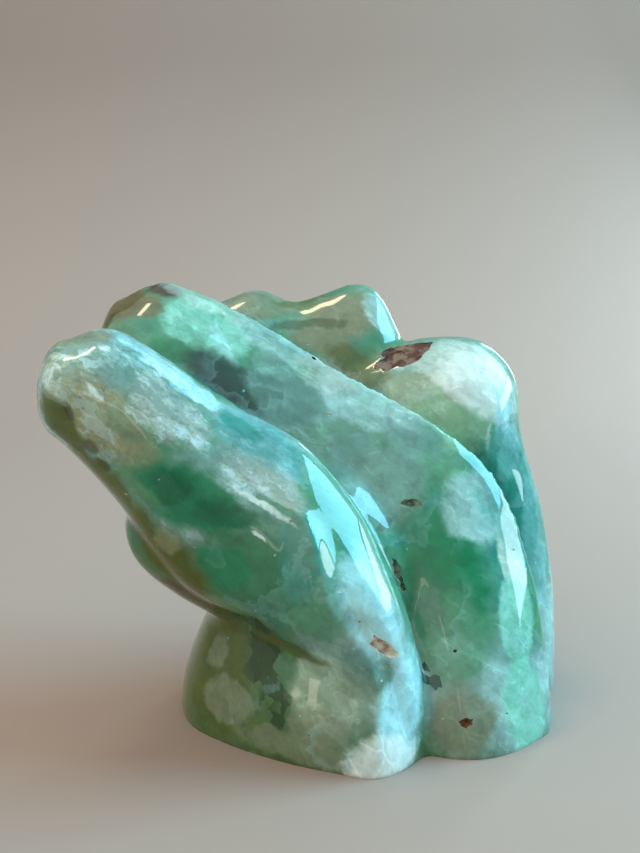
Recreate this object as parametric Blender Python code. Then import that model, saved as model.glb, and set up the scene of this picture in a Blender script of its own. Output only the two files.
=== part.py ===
"""A polished fluorite freeform: one leaning stone of flame-like ridges that stands on a flat ground base.

The stone is one piece. Its ridges run side by side from the upper left down to the lower right. Each is lofted
from leaf-shaped sections between a crest and a keel, and they fuse into one body that is softened as tumbling
and polishing would soften it, and then ground flat underneath.
Lengths are in millimetres here and in metres in Blender. X is to the right, Y to the back and Z up.
"""

from dataclasses import dataclass
from math import cos, pi, sin

import bmesh
import bpy
from mathutils import Matrix, Vector

MM = 0.001
STONE = "fluorite_freeform"

# Driving sizes of the polished body
GRAIN = 0.6
POLISH_PASSES = 11
POLISH_STRENGTH = 0.5
GRIND_DEPTH = 1.2
BLOCK_SIDE = 300
RIM_HEIGHT = 4.5
RIM_PASSES = 40
FACETS = 9400

# Detail of a loft
RING_POINTS = 40
RINGS_PER_SPAN = 6
CAP_RINGS = 6

FLUORITE_GREEN = (0.27, 0.55, 0.42, 1.0)
POLISH_ROUGHNESS = 0.12


@dataclass(frozen=True)
class Section:
    """One leaf-shaped section of a ridge, between its crest and its keel."""

    crest: tuple
    keel: tuple
    front: float
    back: float


@dataclass(frozen=True)
class Ridge:
    """A ridge lofted through its sections, with a round cap past each end."""

    name: str
    sections: tuple
    first_cap: float
    last_cap: float
    crest_edge: float = 1.3
    keel_edge: float = 1.0


FRONT_FLAME = Ridge(
    "front_flame",
    (
        Section((-41.2, -12, 72.4), (-43.5, -15, 55.5), 9, 8),
        Section((-34, -10, 74), (-38.4, -15, 50.2), 10, 9),
        Section((-24, -8, 67.8), (-33, -16, 44), 11.5, 9),
        Section((-12, -9, 59.8), (-28, -16, 36.5), 11.5, 9),
        Section((-1, -12, 54), (-21.5, -16, 29), 11, 9),
        Section((8, -15, 44), (-13, -18, 25), 10.5, 9),
        Section((13.5, -17, 34), (-4, -20, 24.5), 9.5, 9),
        Section((17, -19, 25), (4, -21, 23.5), 7.5, 9),
        Section((19.5, -20, 14), (9, -20, 16), 6, 9),
        Section((20.5, -20, 4), (10, -19, 4), 6, 9),
        Section((21, -20, -6), (10, -18, -10), 7, 9),
    ),
    first_cap=4.5,
    last_cap=3,
    crest_edge=1.5,
)
FRONT_SPINE = Ridge(
    "front_spine",
    (
        Section((-11, -13, 52), (-12, -5, 44), 7, 4),
        Section((-8, -17, 50), (-9, -7, 42), 8.5, 5.5),
        Section((-3.5, -22, 47), (-5, -8, 38), 10.5, 6.5),
        Section((0.2, -26.5, 42), (-3, -8, 34.5), 12, 6.5),
        Section((1.8, -29.3, 35), (0, -8, 31), 13, 8.5),
        Section((3.5, -29.5, 29), (4, -8, 27), 12, 8.5),
        Section((8, -28.5, 22.5), (8, -8, 20), 10, 7.5),
        Section((11.2, -29, 15), (10, -8, 14), 9.5, 7),
        Section((10.8, -30.2, 6), (10, -8, 6), 9.5, 7.5),
        Section((10.8, -30.2, -4), (10, -8, -4), 9.5, 7.5),
    ),
    first_cap=4,
    last_cap=2,
    crest_edge=2.2,
)
MIDDLE_FLAME = Ridge(
    "middle_flame",
    (
        Section((-35, 7, 77.5), (-37.5, 2, 56), 9, 7),
        Section((-26.5, 8, 80.4), (-34.5, 1, 50), 10, 8),
        Section((-12, 7, 74.5), (-26, 0, 40), 10, 8),
        Section((5, 5, 64.5), (-14, 0, 30), 10, 8),
        Section((22, 2, 55.5), (-4, 0, 18), 10.5, 8),
        Section((34, 0, 45.5), (3, -2, 8), 11.5, 8),
        Section((40.5, -4, 30), (8, -5, -4), 13.5, 8),
        Section((43.5, -9, 14), (14, -8, -16), 15, 8),
        Section((44.5, -12, -2), (20, -9, -26), 13, 8),
    ),
    first_cap=3.5,
    last_cap=3,
    crest_edge=2.0,
)
RIGHT_FLAME = Ridge(
    "right_flame",
    (
        Section((12, 20, 66), (4, 14, 40), 10, 8),
        Section((23, 19, 68.5), (10, 14, 40), 11, 9),
        Section((33, 17.5, 68), (18, 13, 38), 11, 9),
        Section((39.5, 15.5, 61.5), (22, 12, 34), 10, 9),
        Section((41, 13, 50), (24, 11, 26), 9, 10),
        Section((45, 11, 36), (26, 9, 16), 9, 11),
        Section((47.5, 9, 20), (27, 8, 4), 9, 11),
        Section((48, 7, 4), (28, 8, -10), 9, 11),
        Section((47.5, 7, -6), (28, 8, -20), 9, 11),
    ),
    first_cap=4,
    last_cap=3,
)
BACK_FLAME = Ridge(
    "back_flame",
    (
        Section((-18.5, 21, 75), (-22, 16, 50), 8, 7),
        Section((-11, 23.5, 77.5), (-18, 16, 44), 9, 8),
        Section((-4, 24, 75), (-12, 16, 40), 9, 8),
        Section((2, 24.5, 76.5), (-7, 16, 38), 9, 8),
        Section((8.5, 25, 78.5), (-2, 16, 36), 9, 9),
        Section((13.5, 24, 76.5), (2, 16, 34), 9, 9),
        Section((18.2, 23, 67.5), (6, 17, 32), 9, 9),
        Section((27, 25, 50), (12, 18, 24), 8, 9),
        Section((33, 26, 30), (16, 18, 8), 8, 9),
        Section((36, 26, 8), (18, 18, -8), 8, 9),
        Section((36, 25, -6), (18, 18, -18), 8, 9),
    ),
    first_cap=4,
    last_cap=3,
)
BELLY = Ridge(
    "belly",
    (
        Section((-29, -4, 45), (-29, -6.5, 30.5), 9.5, 9),
        Section((-25, -4, 49), (-25, -9, 26), 12, 13),
        Section((-18, -2, 53), (-17.5, -10, 21.5), 13, 16),
        Section((-8, 1, 55), (-8, -8, 16), 14, 19),
        Section((5, 4, 52), (5, -3, 4), 17, 22),
        Section((18, 6, 44), (18, 1, -8), 16, 22),
        Section((28, 6, 36), (28, 3, -12), 12, 18),
    ),
    first_cap=3,
    last_cap=5,
)
RIDGES = (FRONT_FLAME, FRONT_SPINE, MIDDLE_FLAME, RIGHT_FLAME, BACK_FLAME, BELLY)

# The foot: its outline where it stands, and how far each height is drawn in towards the middle
FOOT_MIDDLE = (2, -4)
FOOT_OUTLINE = (
    (-25, 2),
    (-23, -9),
    (-15, -17.5),
    (-5, -24),
    (4, -28),
    (10, -30),
    (14.5, -28.3),
    (19.5, -22),
    (22, -10),
    (20, 8),
    (4, 20),
    (-12, 18),
    (-21, 12),
)
FOOT_LEVELS = (
    (-4, 1.0, 1.0),
    (2.5, 1.0, 1.0),
    (7, 0.975, 0.97),
    (12, 0.92, 0.91),
    (16, 0.86, 0.86),
    (20, 0.79, 0.82),
    (26, 0.72, 0.78),
)


def clear_scene():
    """Remove every object that the startup scene holds."""
    for obj in list(bpy.data.objects):
        bpy.data.objects.remove(obj)


def mixed(a, b, share):
    """The point that share of the way from a to b."""
    return a + (b - a) * share


def through(values, position):
    """A smooth curve through evenly spaced values, read at a position counted in values."""
    last = len(values) - 1
    index = min(int(position), last - 1)
    t = position - index
    before = values[max(index - 1, 0)]
    start = values[index]
    end = values[index + 1]
    after = values[min(index + 2, last)]
    slope_in = (end - before) * 0.5
    slope_out = (after - start) * 0.5
    return (
        start * (2 * t**3 - 3 * t**2 + 1)
        + slope_in * (t**3 - 2 * t**2 + t)
        + end * (3 * t**2 - 2 * t**3)
        + slope_out * (t**3 - t**2)
    )


def round_through(points, position):
    """A point on the smooth closed curve through the given points."""
    count = len(points)
    index = int(position)
    near = [Vector(points[(index + step) % count]) for step in (-1, 0, 1, 2)]
    return through(near, 1 + position - index)


def section_at(ridge, position):
    """The crest, the keel and the two half-thicknesses of a ridge at a position along it."""
    crest = through([Vector(s.crest) for s in ridge.sections], position)
    keel = through([Vector(s.keel) for s in ridge.sections], position)
    front = through([s.front for s in ridge.sections], position)
    back = through([s.back for s in ridge.sections], position)
    return crest, keel, front, back


def leaf_ring(ridge, position):
    """The closed leaf-shaped outline of a ridge's section, as points round it from the keel."""
    crest, keel, front, back = section_at(ridge, position)
    last = len(ridge.sections) - 1
    step = 0.02
    ahead = section_at(ridge, min(position + step, last))
    behind = section_at(ridge, max(position - step, 0))
    run = mixed(ahead[0], ahead[1], 0.5) - mixed(behind[0], behind[1], 0.5)
    across = run.cross(crest - keel).normalized()
    points = []
    for index in range(RING_POINTS):
        turn = 2 * pi * index / RING_POINTS
        share = (1 - cos(turn)) / 2
        edge = ridge.crest_edge if share > 0.5 else ridge.keel_edge
        swell = abs(sin(turn)) ** edge
        side = front if turn < pi else -back
        points.append(mixed(keel, crest, share) + across * side * swell)
    return points, run.normalized()


def cap_rings(ring, outward, length):
    """Rings that close a loft's end over a round cap of the given length."""
    middle = sum(ring, Vector()) / len(ring)
    rings = []
    for index in range(1, CAP_RINGS):
        turn = pi / 2 * index / CAP_RINGS
        shift = outward * length * sin(turn)
        rings.append([mixed(middle, point, cos(turn)) + shift for point in ring])
    return rings, middle + outward * length


def add_ridge(body, ridge):
    """Loft one ridge into the bmesh body as a closed shell."""
    spans = len(ridge.sections) - 1
    count = spans * RINGS_PER_SPAN
    rings = []
    runs = []
    for index in range(count + 1):
        points, run = leaf_ring(ridge, index / RINGS_PER_SPAN)
        rings.append(points)
        runs.append(run)
    first_rings, first_tip = cap_rings(rings[0], -runs[0], ridge.first_cap)
    last_rings, last_tip = cap_rings(rings[-1], runs[-1], ridge.last_cap)
    rings = first_rings[::-1] + rings + last_rings
    loops = [[body.verts.new(point * MM) for point in ring] for ring in rings]
    faces = []
    for low, high in zip(loops, loops[1:]):
        for index in range(RING_POINTS):
            after = (index + 1) % RING_POINTS
            faces.append(body.faces.new((low[index], low[after], high[after], high[index])))
    for loop, tip in ((loops[0], first_tip), (loops[-1], last_tip)):
        apex = body.verts.new(tip * MM)
        for index in range(RING_POINTS):
            faces.append(body.faces.new((loop[index], loop[(index + 1) % RING_POINTS], apex)))
    bmesh.ops.recalc_face_normals(body, faces=faces)


def add_foot(body):
    """Stack the foot's outline into the bmesh body as a closed shell."""
    middle = Vector((*FOOT_MIDDLE, 0))
    count = len(FOOT_OUTLINE)
    loops = []
    for height, wide, deep in FOOT_LEVELS:
        loop = []
        for index in range(RING_POINTS * 2):
            along = Vector((*round_through(FOOT_OUTLINE, index * count / (RING_POINTS * 2)), 0)) - middle
            point = middle + Vector((along.x * wide, along.y * deep, height))
            loop.append(body.verts.new(point * MM))
        loops.append(loop)
    faces = [body.faces.new(loops[0]), body.faces.new(loops[-1])]
    for low, high in zip(loops, loops[1:]):
        for index in range(len(low)):
            after = (index + 1) % len(low)
            faces.append(body.faces.new((low[index], low[after], high[after], high[index])))
    bmesh.ops.recalc_face_normals(body, faces=faces)


def mesh_object(name, body):
    """Turn a bmesh into a named object in the scene."""
    mesh = bpy.data.meshes.new(name)
    body.to_mesh(mesh)
    body.free()
    obj = bpy.data.objects.new(name, mesh)
    bpy.context.scene.collection.objects.link(obj)
    return obj


def grinding_block(name, top):
    """A large cutter below the stone whose top face is at the given height."""
    body = bmesh.new()
    bmesh.ops.create_cube(body, size=BLOCK_SIDE * MM)
    bmesh.ops.translate(body, verts=body.verts, vec=(0, 0, (top - BLOCK_SIDE / 2) * MM))
    block = mesh_object(name, body)
    block.hide_render = True
    block.display_type = "WIRE"
    return block


def cut_below(stone, block):
    """Grind the stone flat with a cutter."""
    cut = stone.modifiers.new(block.name, "BOOLEAN")
    cut.operation = "DIFFERENCE"
    cut.object = block


def fuse(stone, name):
    """Turn overlapping or cut shapes into one body of even small faces."""
    fused = stone.modifiers.new(name, "REMESH")
    fused.mode = "VOXEL"
    fused.voxel_size = GRAIN * MM
    fused.use_smooth_shade = True


def settle(stone):
    """Take the stone as it stands so far, fused and cut, for its own mesh."""
    graph = bpy.context.evaluated_depsgraph_get()
    mesh = bpy.data.meshes.new_from_object(stone.evaluated_get(graph))
    stone.modifiers.clear()
    stone.data = mesh


def centre(stone):
    """Shift the mesh until the middle of its box is over the origin."""
    points = [vertex.co for vertex in stone.data.vertices]
    low_x = min(point.x for point in points)
    high_x = max(point.x for point in points)
    low_y = min(point.y for point in points)
    high_y = max(point.y for point in points)
    stone.data.transform(Matrix.Translation((-(low_x + high_x) / 2, -(low_y + high_y) / 2, 0)))


def mark_rim(stone):
    """Weight the points near the ground, the lowest most."""
    rim = stone.vertex_groups.new(name="rim")
    for vertex in stone.data.vertices:
        height = vertex.co.z / MM + GRIND_DEPTH
        if height < RIM_HEIGHT:
            rim.add([vertex.index], 1 - height / RIM_HEIGHT, "REPLACE")


def polish(stone):
    """Soften every crest, groove and edge, and most of all the rim that the stone stands on."""
    soften = stone.modifiers.new("soften", "SMOOTH")
    soften.factor = POLISH_STRENGTH
    soften.iterations = POLISH_PASSES
    round_rim = stone.modifiers.new("round_rim", "SMOOTH")
    round_rim.factor = POLISH_STRENGTH
    round_rim.iterations = RIM_PASSES
    round_rim.vertex_group = "rim"


def facet_share(stone):
    """The share of the fused stone's triangles that leaves the wanted number of facets."""
    graph = bpy.context.evaluated_depsgraph_get()
    mesh = stone.evaluated_get(graph).to_mesh()
    mesh.calc_loop_triangles()
    return FACETS / len(mesh.loop_triangles)


def polished_fluorite():
    """The green stone's material, with a polish."""
    material = bpy.data.materials.new("polished_fluorite")
    material.use_nodes = True
    surface = material.node_tree.nodes["Principled BSDF"]
    surface.inputs["Base Color"].default_value = FLUORITE_GREEN
    surface.inputs["Roughness"].default_value = POLISH_ROUGHNESS
    return material


def main():
    """Build the stone."""
    clear_scene()
    body = bmesh.new()
    for ridge in RIDGES:
        add_ridge(body, ridge)
    add_foot(body)
    stone = mesh_object(STONE, body)
    fuse(stone, "fuse_ridges")
    cut_below(stone, grinding_block("rough_grinding_block", -GRIND_DEPTH))
    fuse(stone, "even_grain")
    settle(stone)
    mark_rim(stone)
    centre(stone)
    stone.data.materials.clear()
    stone.data.materials.append(polished_fluorite())
    polish(stone)
    reduce = stone.modifiers.new("facets", "DECIMATE")
    reduce.ratio = facet_share(stone)
    cut_below(stone, grinding_block("grinding_block", 0))


main()
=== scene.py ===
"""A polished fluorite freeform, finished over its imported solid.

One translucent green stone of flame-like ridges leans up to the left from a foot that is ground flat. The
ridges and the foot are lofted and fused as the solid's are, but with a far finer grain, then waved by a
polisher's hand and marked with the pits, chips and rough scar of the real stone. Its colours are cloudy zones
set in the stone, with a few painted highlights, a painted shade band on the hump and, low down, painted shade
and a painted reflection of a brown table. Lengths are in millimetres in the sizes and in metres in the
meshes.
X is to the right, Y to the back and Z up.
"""

import logging
import math
from dataclasses import dataclass, field
from enum import Enum

import bmesh
import bpy
from mathutils import Euler, Matrix, Vector, noise
from mathutils.bvhtree import BVHTree


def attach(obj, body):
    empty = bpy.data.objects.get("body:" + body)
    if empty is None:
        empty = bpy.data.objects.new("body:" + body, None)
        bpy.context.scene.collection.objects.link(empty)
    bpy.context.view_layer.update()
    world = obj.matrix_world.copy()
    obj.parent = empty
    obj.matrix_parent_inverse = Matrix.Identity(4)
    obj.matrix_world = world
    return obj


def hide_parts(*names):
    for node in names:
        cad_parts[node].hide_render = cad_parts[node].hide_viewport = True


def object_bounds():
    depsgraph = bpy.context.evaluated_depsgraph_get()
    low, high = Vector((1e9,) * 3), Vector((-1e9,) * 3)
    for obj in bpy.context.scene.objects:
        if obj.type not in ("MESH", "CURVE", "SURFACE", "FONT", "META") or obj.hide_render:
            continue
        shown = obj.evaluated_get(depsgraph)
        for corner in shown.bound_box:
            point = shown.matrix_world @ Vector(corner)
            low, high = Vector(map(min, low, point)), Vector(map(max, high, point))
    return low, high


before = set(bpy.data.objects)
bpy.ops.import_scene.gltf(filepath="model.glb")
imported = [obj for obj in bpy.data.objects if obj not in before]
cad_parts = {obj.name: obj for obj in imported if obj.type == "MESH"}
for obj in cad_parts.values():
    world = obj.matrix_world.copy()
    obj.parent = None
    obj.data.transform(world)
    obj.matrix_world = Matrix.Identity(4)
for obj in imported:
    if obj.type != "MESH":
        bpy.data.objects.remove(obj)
CAD_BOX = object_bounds()

LOG = logging.getLogger("fluorite")
MM = 0.001
NODE = "fluorite_freeform"
PIECE = "polished_fluorite"

Point = tuple[float, float, float]
Pixel = tuple[float, float]
Span = tuple[float, float]
Feed = bpy.types.NodeSocket | float | tuple | Vector | Euler


# Geometry of the stone


@dataclass(frozen=True)
class Section:
    """One leaf-shaped section of a ridge, between its crest and its keel."""

    crest: Point
    keel: Point
    front: float
    back: float


@dataclass(frozen=True)
class Ridge:
    """A ridge lofted through its sections, with a round cap past each end."""

    name: str
    sections: tuple[Section, ...]
    first_cap: float
    last_cap: float
    crest_edge: float = 1.3
    keel_edge: float = 1.0

    def section_at(self, position: float) -> tuple[Vector, Vector, float, float]:
        """Read the ridge between its sections.

        Args:
            position: The place along the ridge, counted in sections.

        Returns:
            The crest, the keel and the front and back half-thicknesses there.
        """
        crest = through([Vector(s.crest) for s in self.sections], position)
        keel = through([Vector(s.keel) for s in self.sections], position)
        front = through([s.front for s in self.sections], position)
        back = through([s.back for s in self.sections], position)
        return crest, keel, front, back

    def ring(self, position: float, points: int) -> tuple[list[Vector], Vector]:
        """Draw the leaf-shaped outline of a section.

        Args:
            position: The place along the ridge, counted in sections.
            points: How many points the outline has.

        Returns:
            The points round from the keel, and the direction in which the ridge runs.
        """
        crest, keel, front, back = self.section_at(position)
        last = len(self.sections) - 1
        step = 0.02
        ahead = self.section_at(min(position + step, last))
        behind = self.section_at(max(position - step, 0))
        run = mixed(ahead[0], ahead[1], 0.5) - mixed(behind[0], behind[1], 0.5)
        across = run.cross(crest - keel).normalized()
        outline = []
        for index in range(points):
            turn = math.tau * index / points
            share = (1 - math.cos(turn)) / 2
            edge = self.crest_edge if share > 0.5 else self.keel_edge
            side = front if turn < math.pi else -back
            outline.append(mixed(keel, crest, share) + across * side * abs(math.sin(turn)) ** edge)
        return outline, run.normalized()


FRONT_FLAME = Ridge(
    "front_flame",
    (
        Section((-41.2, -12, 72.4), (-43.5, -15, 55.5), 9, 8),
        Section((-34, -10, 74), (-38.4, -15, 50.2), 10, 9),
        Section((-24, -8, 67.8), (-33, -16, 44), 11.5, 9),
        Section((-12, -9, 59.8), (-28, -16, 36.5), 11.5, 9),
        Section((-1, -12, 54), (-21.5, -16, 29), 11, 9),
        Section((8, -15, 44), (-13, -18, 25), 10.5, 9),
        Section((13.5, -17, 34), (-4, -20, 24.5), 9.5, 9),
        Section((17, -19, 25), (4, -21, 23.5), 7.5, 9),
        Section((19.5, -20, 14), (9, -20, 16), 6, 9),
        Section((20.5, -20, 4), (10, -19, 4), 6, 9),
        Section((21, -20, -6), (10, -18, -10), 7, 9),
    ),
    first_cap=4.5,
    last_cap=3,
    crest_edge=1.5,
)
FRONT_SPINE = Ridge(
    "front_spine",
    (
        Section((-11, -13, 52), (-12, -5, 44), 7, 4),
        Section((-8, -17, 50), (-9, -7, 42), 8.5, 5.5),
        Section((-3.5, -22, 47), (-5, -8, 38), 10.5, 6.5),
        Section((0.2, -26.5, 42), (-3, -8, 34.5), 12, 6.5),
        Section((1.8, -29.3, 35), (0, -8, 31), 13, 8.5),
        Section((3.5, -29.5, 29), (4, -8, 27), 12, 8.5),
        Section((8, -28.5, 22.5), (8, -8, 20), 10, 7.5),
        Section((11.2, -29, 15), (10, -8, 14), 9.5, 7),
        Section((10.8, -30.2, 6), (10, -8, 6), 9.5, 7.5),
        Section((10.8, -30.2, -4), (10, -8, -4), 9.5, 7.5),
    ),
    first_cap=4,
    last_cap=2,
    crest_edge=2.2,
)
MIDDLE_FLAME = Ridge(
    "middle_flame",
    (
        Section((-35, 7, 77.5), (-37.5, 2, 56), 9, 7),
        Section((-26.5, 8, 80.4), (-34.5, 1, 50), 10, 8),
        Section((-12, 7, 74.5), (-26, 0, 40), 10, 8),
        Section((5, 5, 64.5), (-14, 0, 30), 10, 8),
        Section((22, 2, 55.5), (-4, 0, 18), 10.5, 8),
        Section((34, 0, 45.5), (3, -2, 8), 11.5, 8),
        Section((40.5, -4, 30), (8, -5, -4), 13.5, 8),
        Section((43.5, -9, 14), (14, -8, -16), 15, 8),
        Section((44.5, -12, -2), (20, -9, -26), 13, 8),
    ),
    first_cap=3.5,
    last_cap=3,
    crest_edge=2.0,
)
RIGHT_FLAME = Ridge(
    "right_flame",
    (
        Section((12, 20, 66), (4, 14, 40), 10, 8),
        Section((23, 19, 68.5), (10, 14, 40), 11, 9),
        Section((33, 17.5, 68), (18, 13, 38), 11, 9),
        Section((39.5, 15.5, 61.5), (22, 12, 34), 10, 9),
        Section((41, 13, 50), (24, 11, 26), 9, 10),
        Section((45, 11, 36), (26, 9, 16), 9, 11),
        Section((47.5, 9, 20), (27, 8, 4), 9, 11),
        Section((48, 7, 4), (28, 8, -10), 9, 11),
        Section((47.5, 7, -6), (28, 8, -20), 9, 11),
    ),
    first_cap=4,
    last_cap=3,
)
BACK_FLAME = Ridge(
    "back_flame",
    (
        Section((-18.5, 21, 75), (-22, 16, 50), 8, 7),
        Section((-11, 23.5, 77.5), (-18, 16, 44), 9, 8),
        Section((-4, 24, 75), (-12, 16, 40), 9, 8),
        Section((2, 24.5, 76.5), (-7, 16, 38), 9, 8),
        Section((8.5, 25, 78.5), (-2, 16, 36), 9, 9),
        Section((13.5, 24, 76.5), (2, 16, 34), 9, 9),
        Section((18.2, 23, 67.5), (6, 17, 32), 9, 9),
        Section((27, 25, 50), (12, 18, 24), 8, 9),
        Section((33, 26, 30), (16, 18, 8), 8, 9),
        Section((36, 26, 8), (18, 18, -8), 8, 9),
        Section((36, 25, -6), (18, 18, -18), 8, 9),
    ),
    first_cap=4,
    last_cap=3,
)
BELLY = Ridge(
    "belly",
    (
        Section((-29, -4, 45), (-29, -6.5, 30.5), 9.5, 9),
        Section((-25, -4, 49), (-25, -9, 26), 12, 13),
        Section((-18, -2, 53), (-17.5, -10, 21.5), 13, 16),
        Section((-8, 1, 55), (-8, -8, 16), 14, 19),
        Section((5, 4, 52), (5, -3, 4), 17, 22),
        Section((18, 6, 44), (18, 1, -8), 16, 22),
        Section((28, 6, 36), (28, 3, -12), 12, 18),
    ),
    first_cap=3,
    last_cap=5,
)


@dataclass(frozen=True)
class Foot:
    """The foot: its outline where it stands, and how far each height is drawn in towards its middle."""

    middle: Pixel = (2, -4)
    outline: tuple[Pixel, ...] = (
        (-25, 2),
        (-23, -9),
        (-15, -17.5),
        (-5, -24),
        (4, -28),
        (10, -30),
        (14.5, -28.3),
        (19.5, -22),
        (22, -10),
        (20, 8),
        (4, 20),
        (-12, 18),
        (-21, 12),
    )
    levels: tuple[Point, ...] = (
        (-4, 1.0, 1.0),
        (2.5, 1.0, 1.0),
        (7, 0.975, 0.97),
        (12, 0.92, 0.91),
        (16, 0.86, 0.86),
        (20, 0.79, 0.82),
        (26, 0.72, 0.78),
    )

    def loop(self, level: Point, points: int) -> list[Vector]:
        """Draw the foot's outline at one height.

        Args:
            level: The height, and the shares of the width and the depth that are left there.
            points: How many points the outline has.

        Returns:
            The points of the outline.
        """
        height, wide, deep = level
        middle = Vector((*self.middle, 0))
        found = []
        for index in range(points):
            at = Vector((*round_through(self.outline, index * len(self.outline) / points), 0)) - middle
            found.append(middle + Vector((at.x * wide, at.y * deep, height)))
        return found


def mixed(a: Vector, b: Vector, share: float) -> Vector:
    """Give the point that share of the way from a to b."""
    return a + (b - a) * share


def through(values: list, position: float) -> Vector | float:
    """Read a smooth curve through evenly spaced values.

    Args:
        values: The values, numbers or vectors.
        position: Where to read the curve, counted in values.

    Returns:
        The value there.
    """
    last = len(values) - 1
    index = min(int(position), last - 1)
    t = position - index
    start = values[index]
    end = values[index + 1]
    slope_in = (end - values[max(index - 1, 0)]) * 0.5
    slope_out = (values[min(index + 2, last)] - start) * 0.5
    return (
        start * (2 * t**3 - 3 * t**2 + 1)
        + slope_in * (t**3 - 2 * t**2 + t)
        + end * (3 * t**2 - 2 * t**3)
        + slope_out * (t**3 - t**2)
    )


def round_through(points: tuple[Pixel, ...], position: float) -> Vector:
    """Read the smooth closed curve through the given points.

    Args:
        points: The points of the curve in order.
        position: Where to read it, counted in points.

    Returns:
        The point there.
    """
    index = int(position)
    near = [Vector(points[(index + step) % len(points)]) for step in (-1, 0, 1, 2)]
    return through(near, 1 + position - index)


def mesh_object(name: str, body: bmesh.types.BMesh) -> bpy.types.Object:
    """Turn a bmesh into a named object in the scene.

    Args:
        name: The object's name.
        body: The bmesh, which is freed.

    Returns:
        The object.
    """
    mesh = bpy.data.meshes.new(name)
    body.to_mesh(mesh)
    body.free()
    obj = bpy.data.objects.new(name, mesh)
    bpy.context.scene.collection.objects.link(obj)
    return obj


def settle(obj: bpy.types.Object) -> None:
    """Take the object as its modifiers leave it for its own mesh, and remove them.

    Args:
        obj: The object.
    """
    graph = bpy.context.evaluated_depsgraph_get()
    mesh = bpy.data.meshes.new_from_object(obj.evaluated_get(graph))
    obj.modifiers.clear()
    obj.data = mesh


# Node trees


@dataclass(frozen=True)
class Clouds:
    """A cloudy noise: its largest clouds' size, how many finer layers it has and how strong each of them is.

    A noise that shifts coordinates also says how far it shifts them at most.
    """

    size: float
    detail: float
    rough: float = 0.5
    reach: float = 0.0


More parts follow.
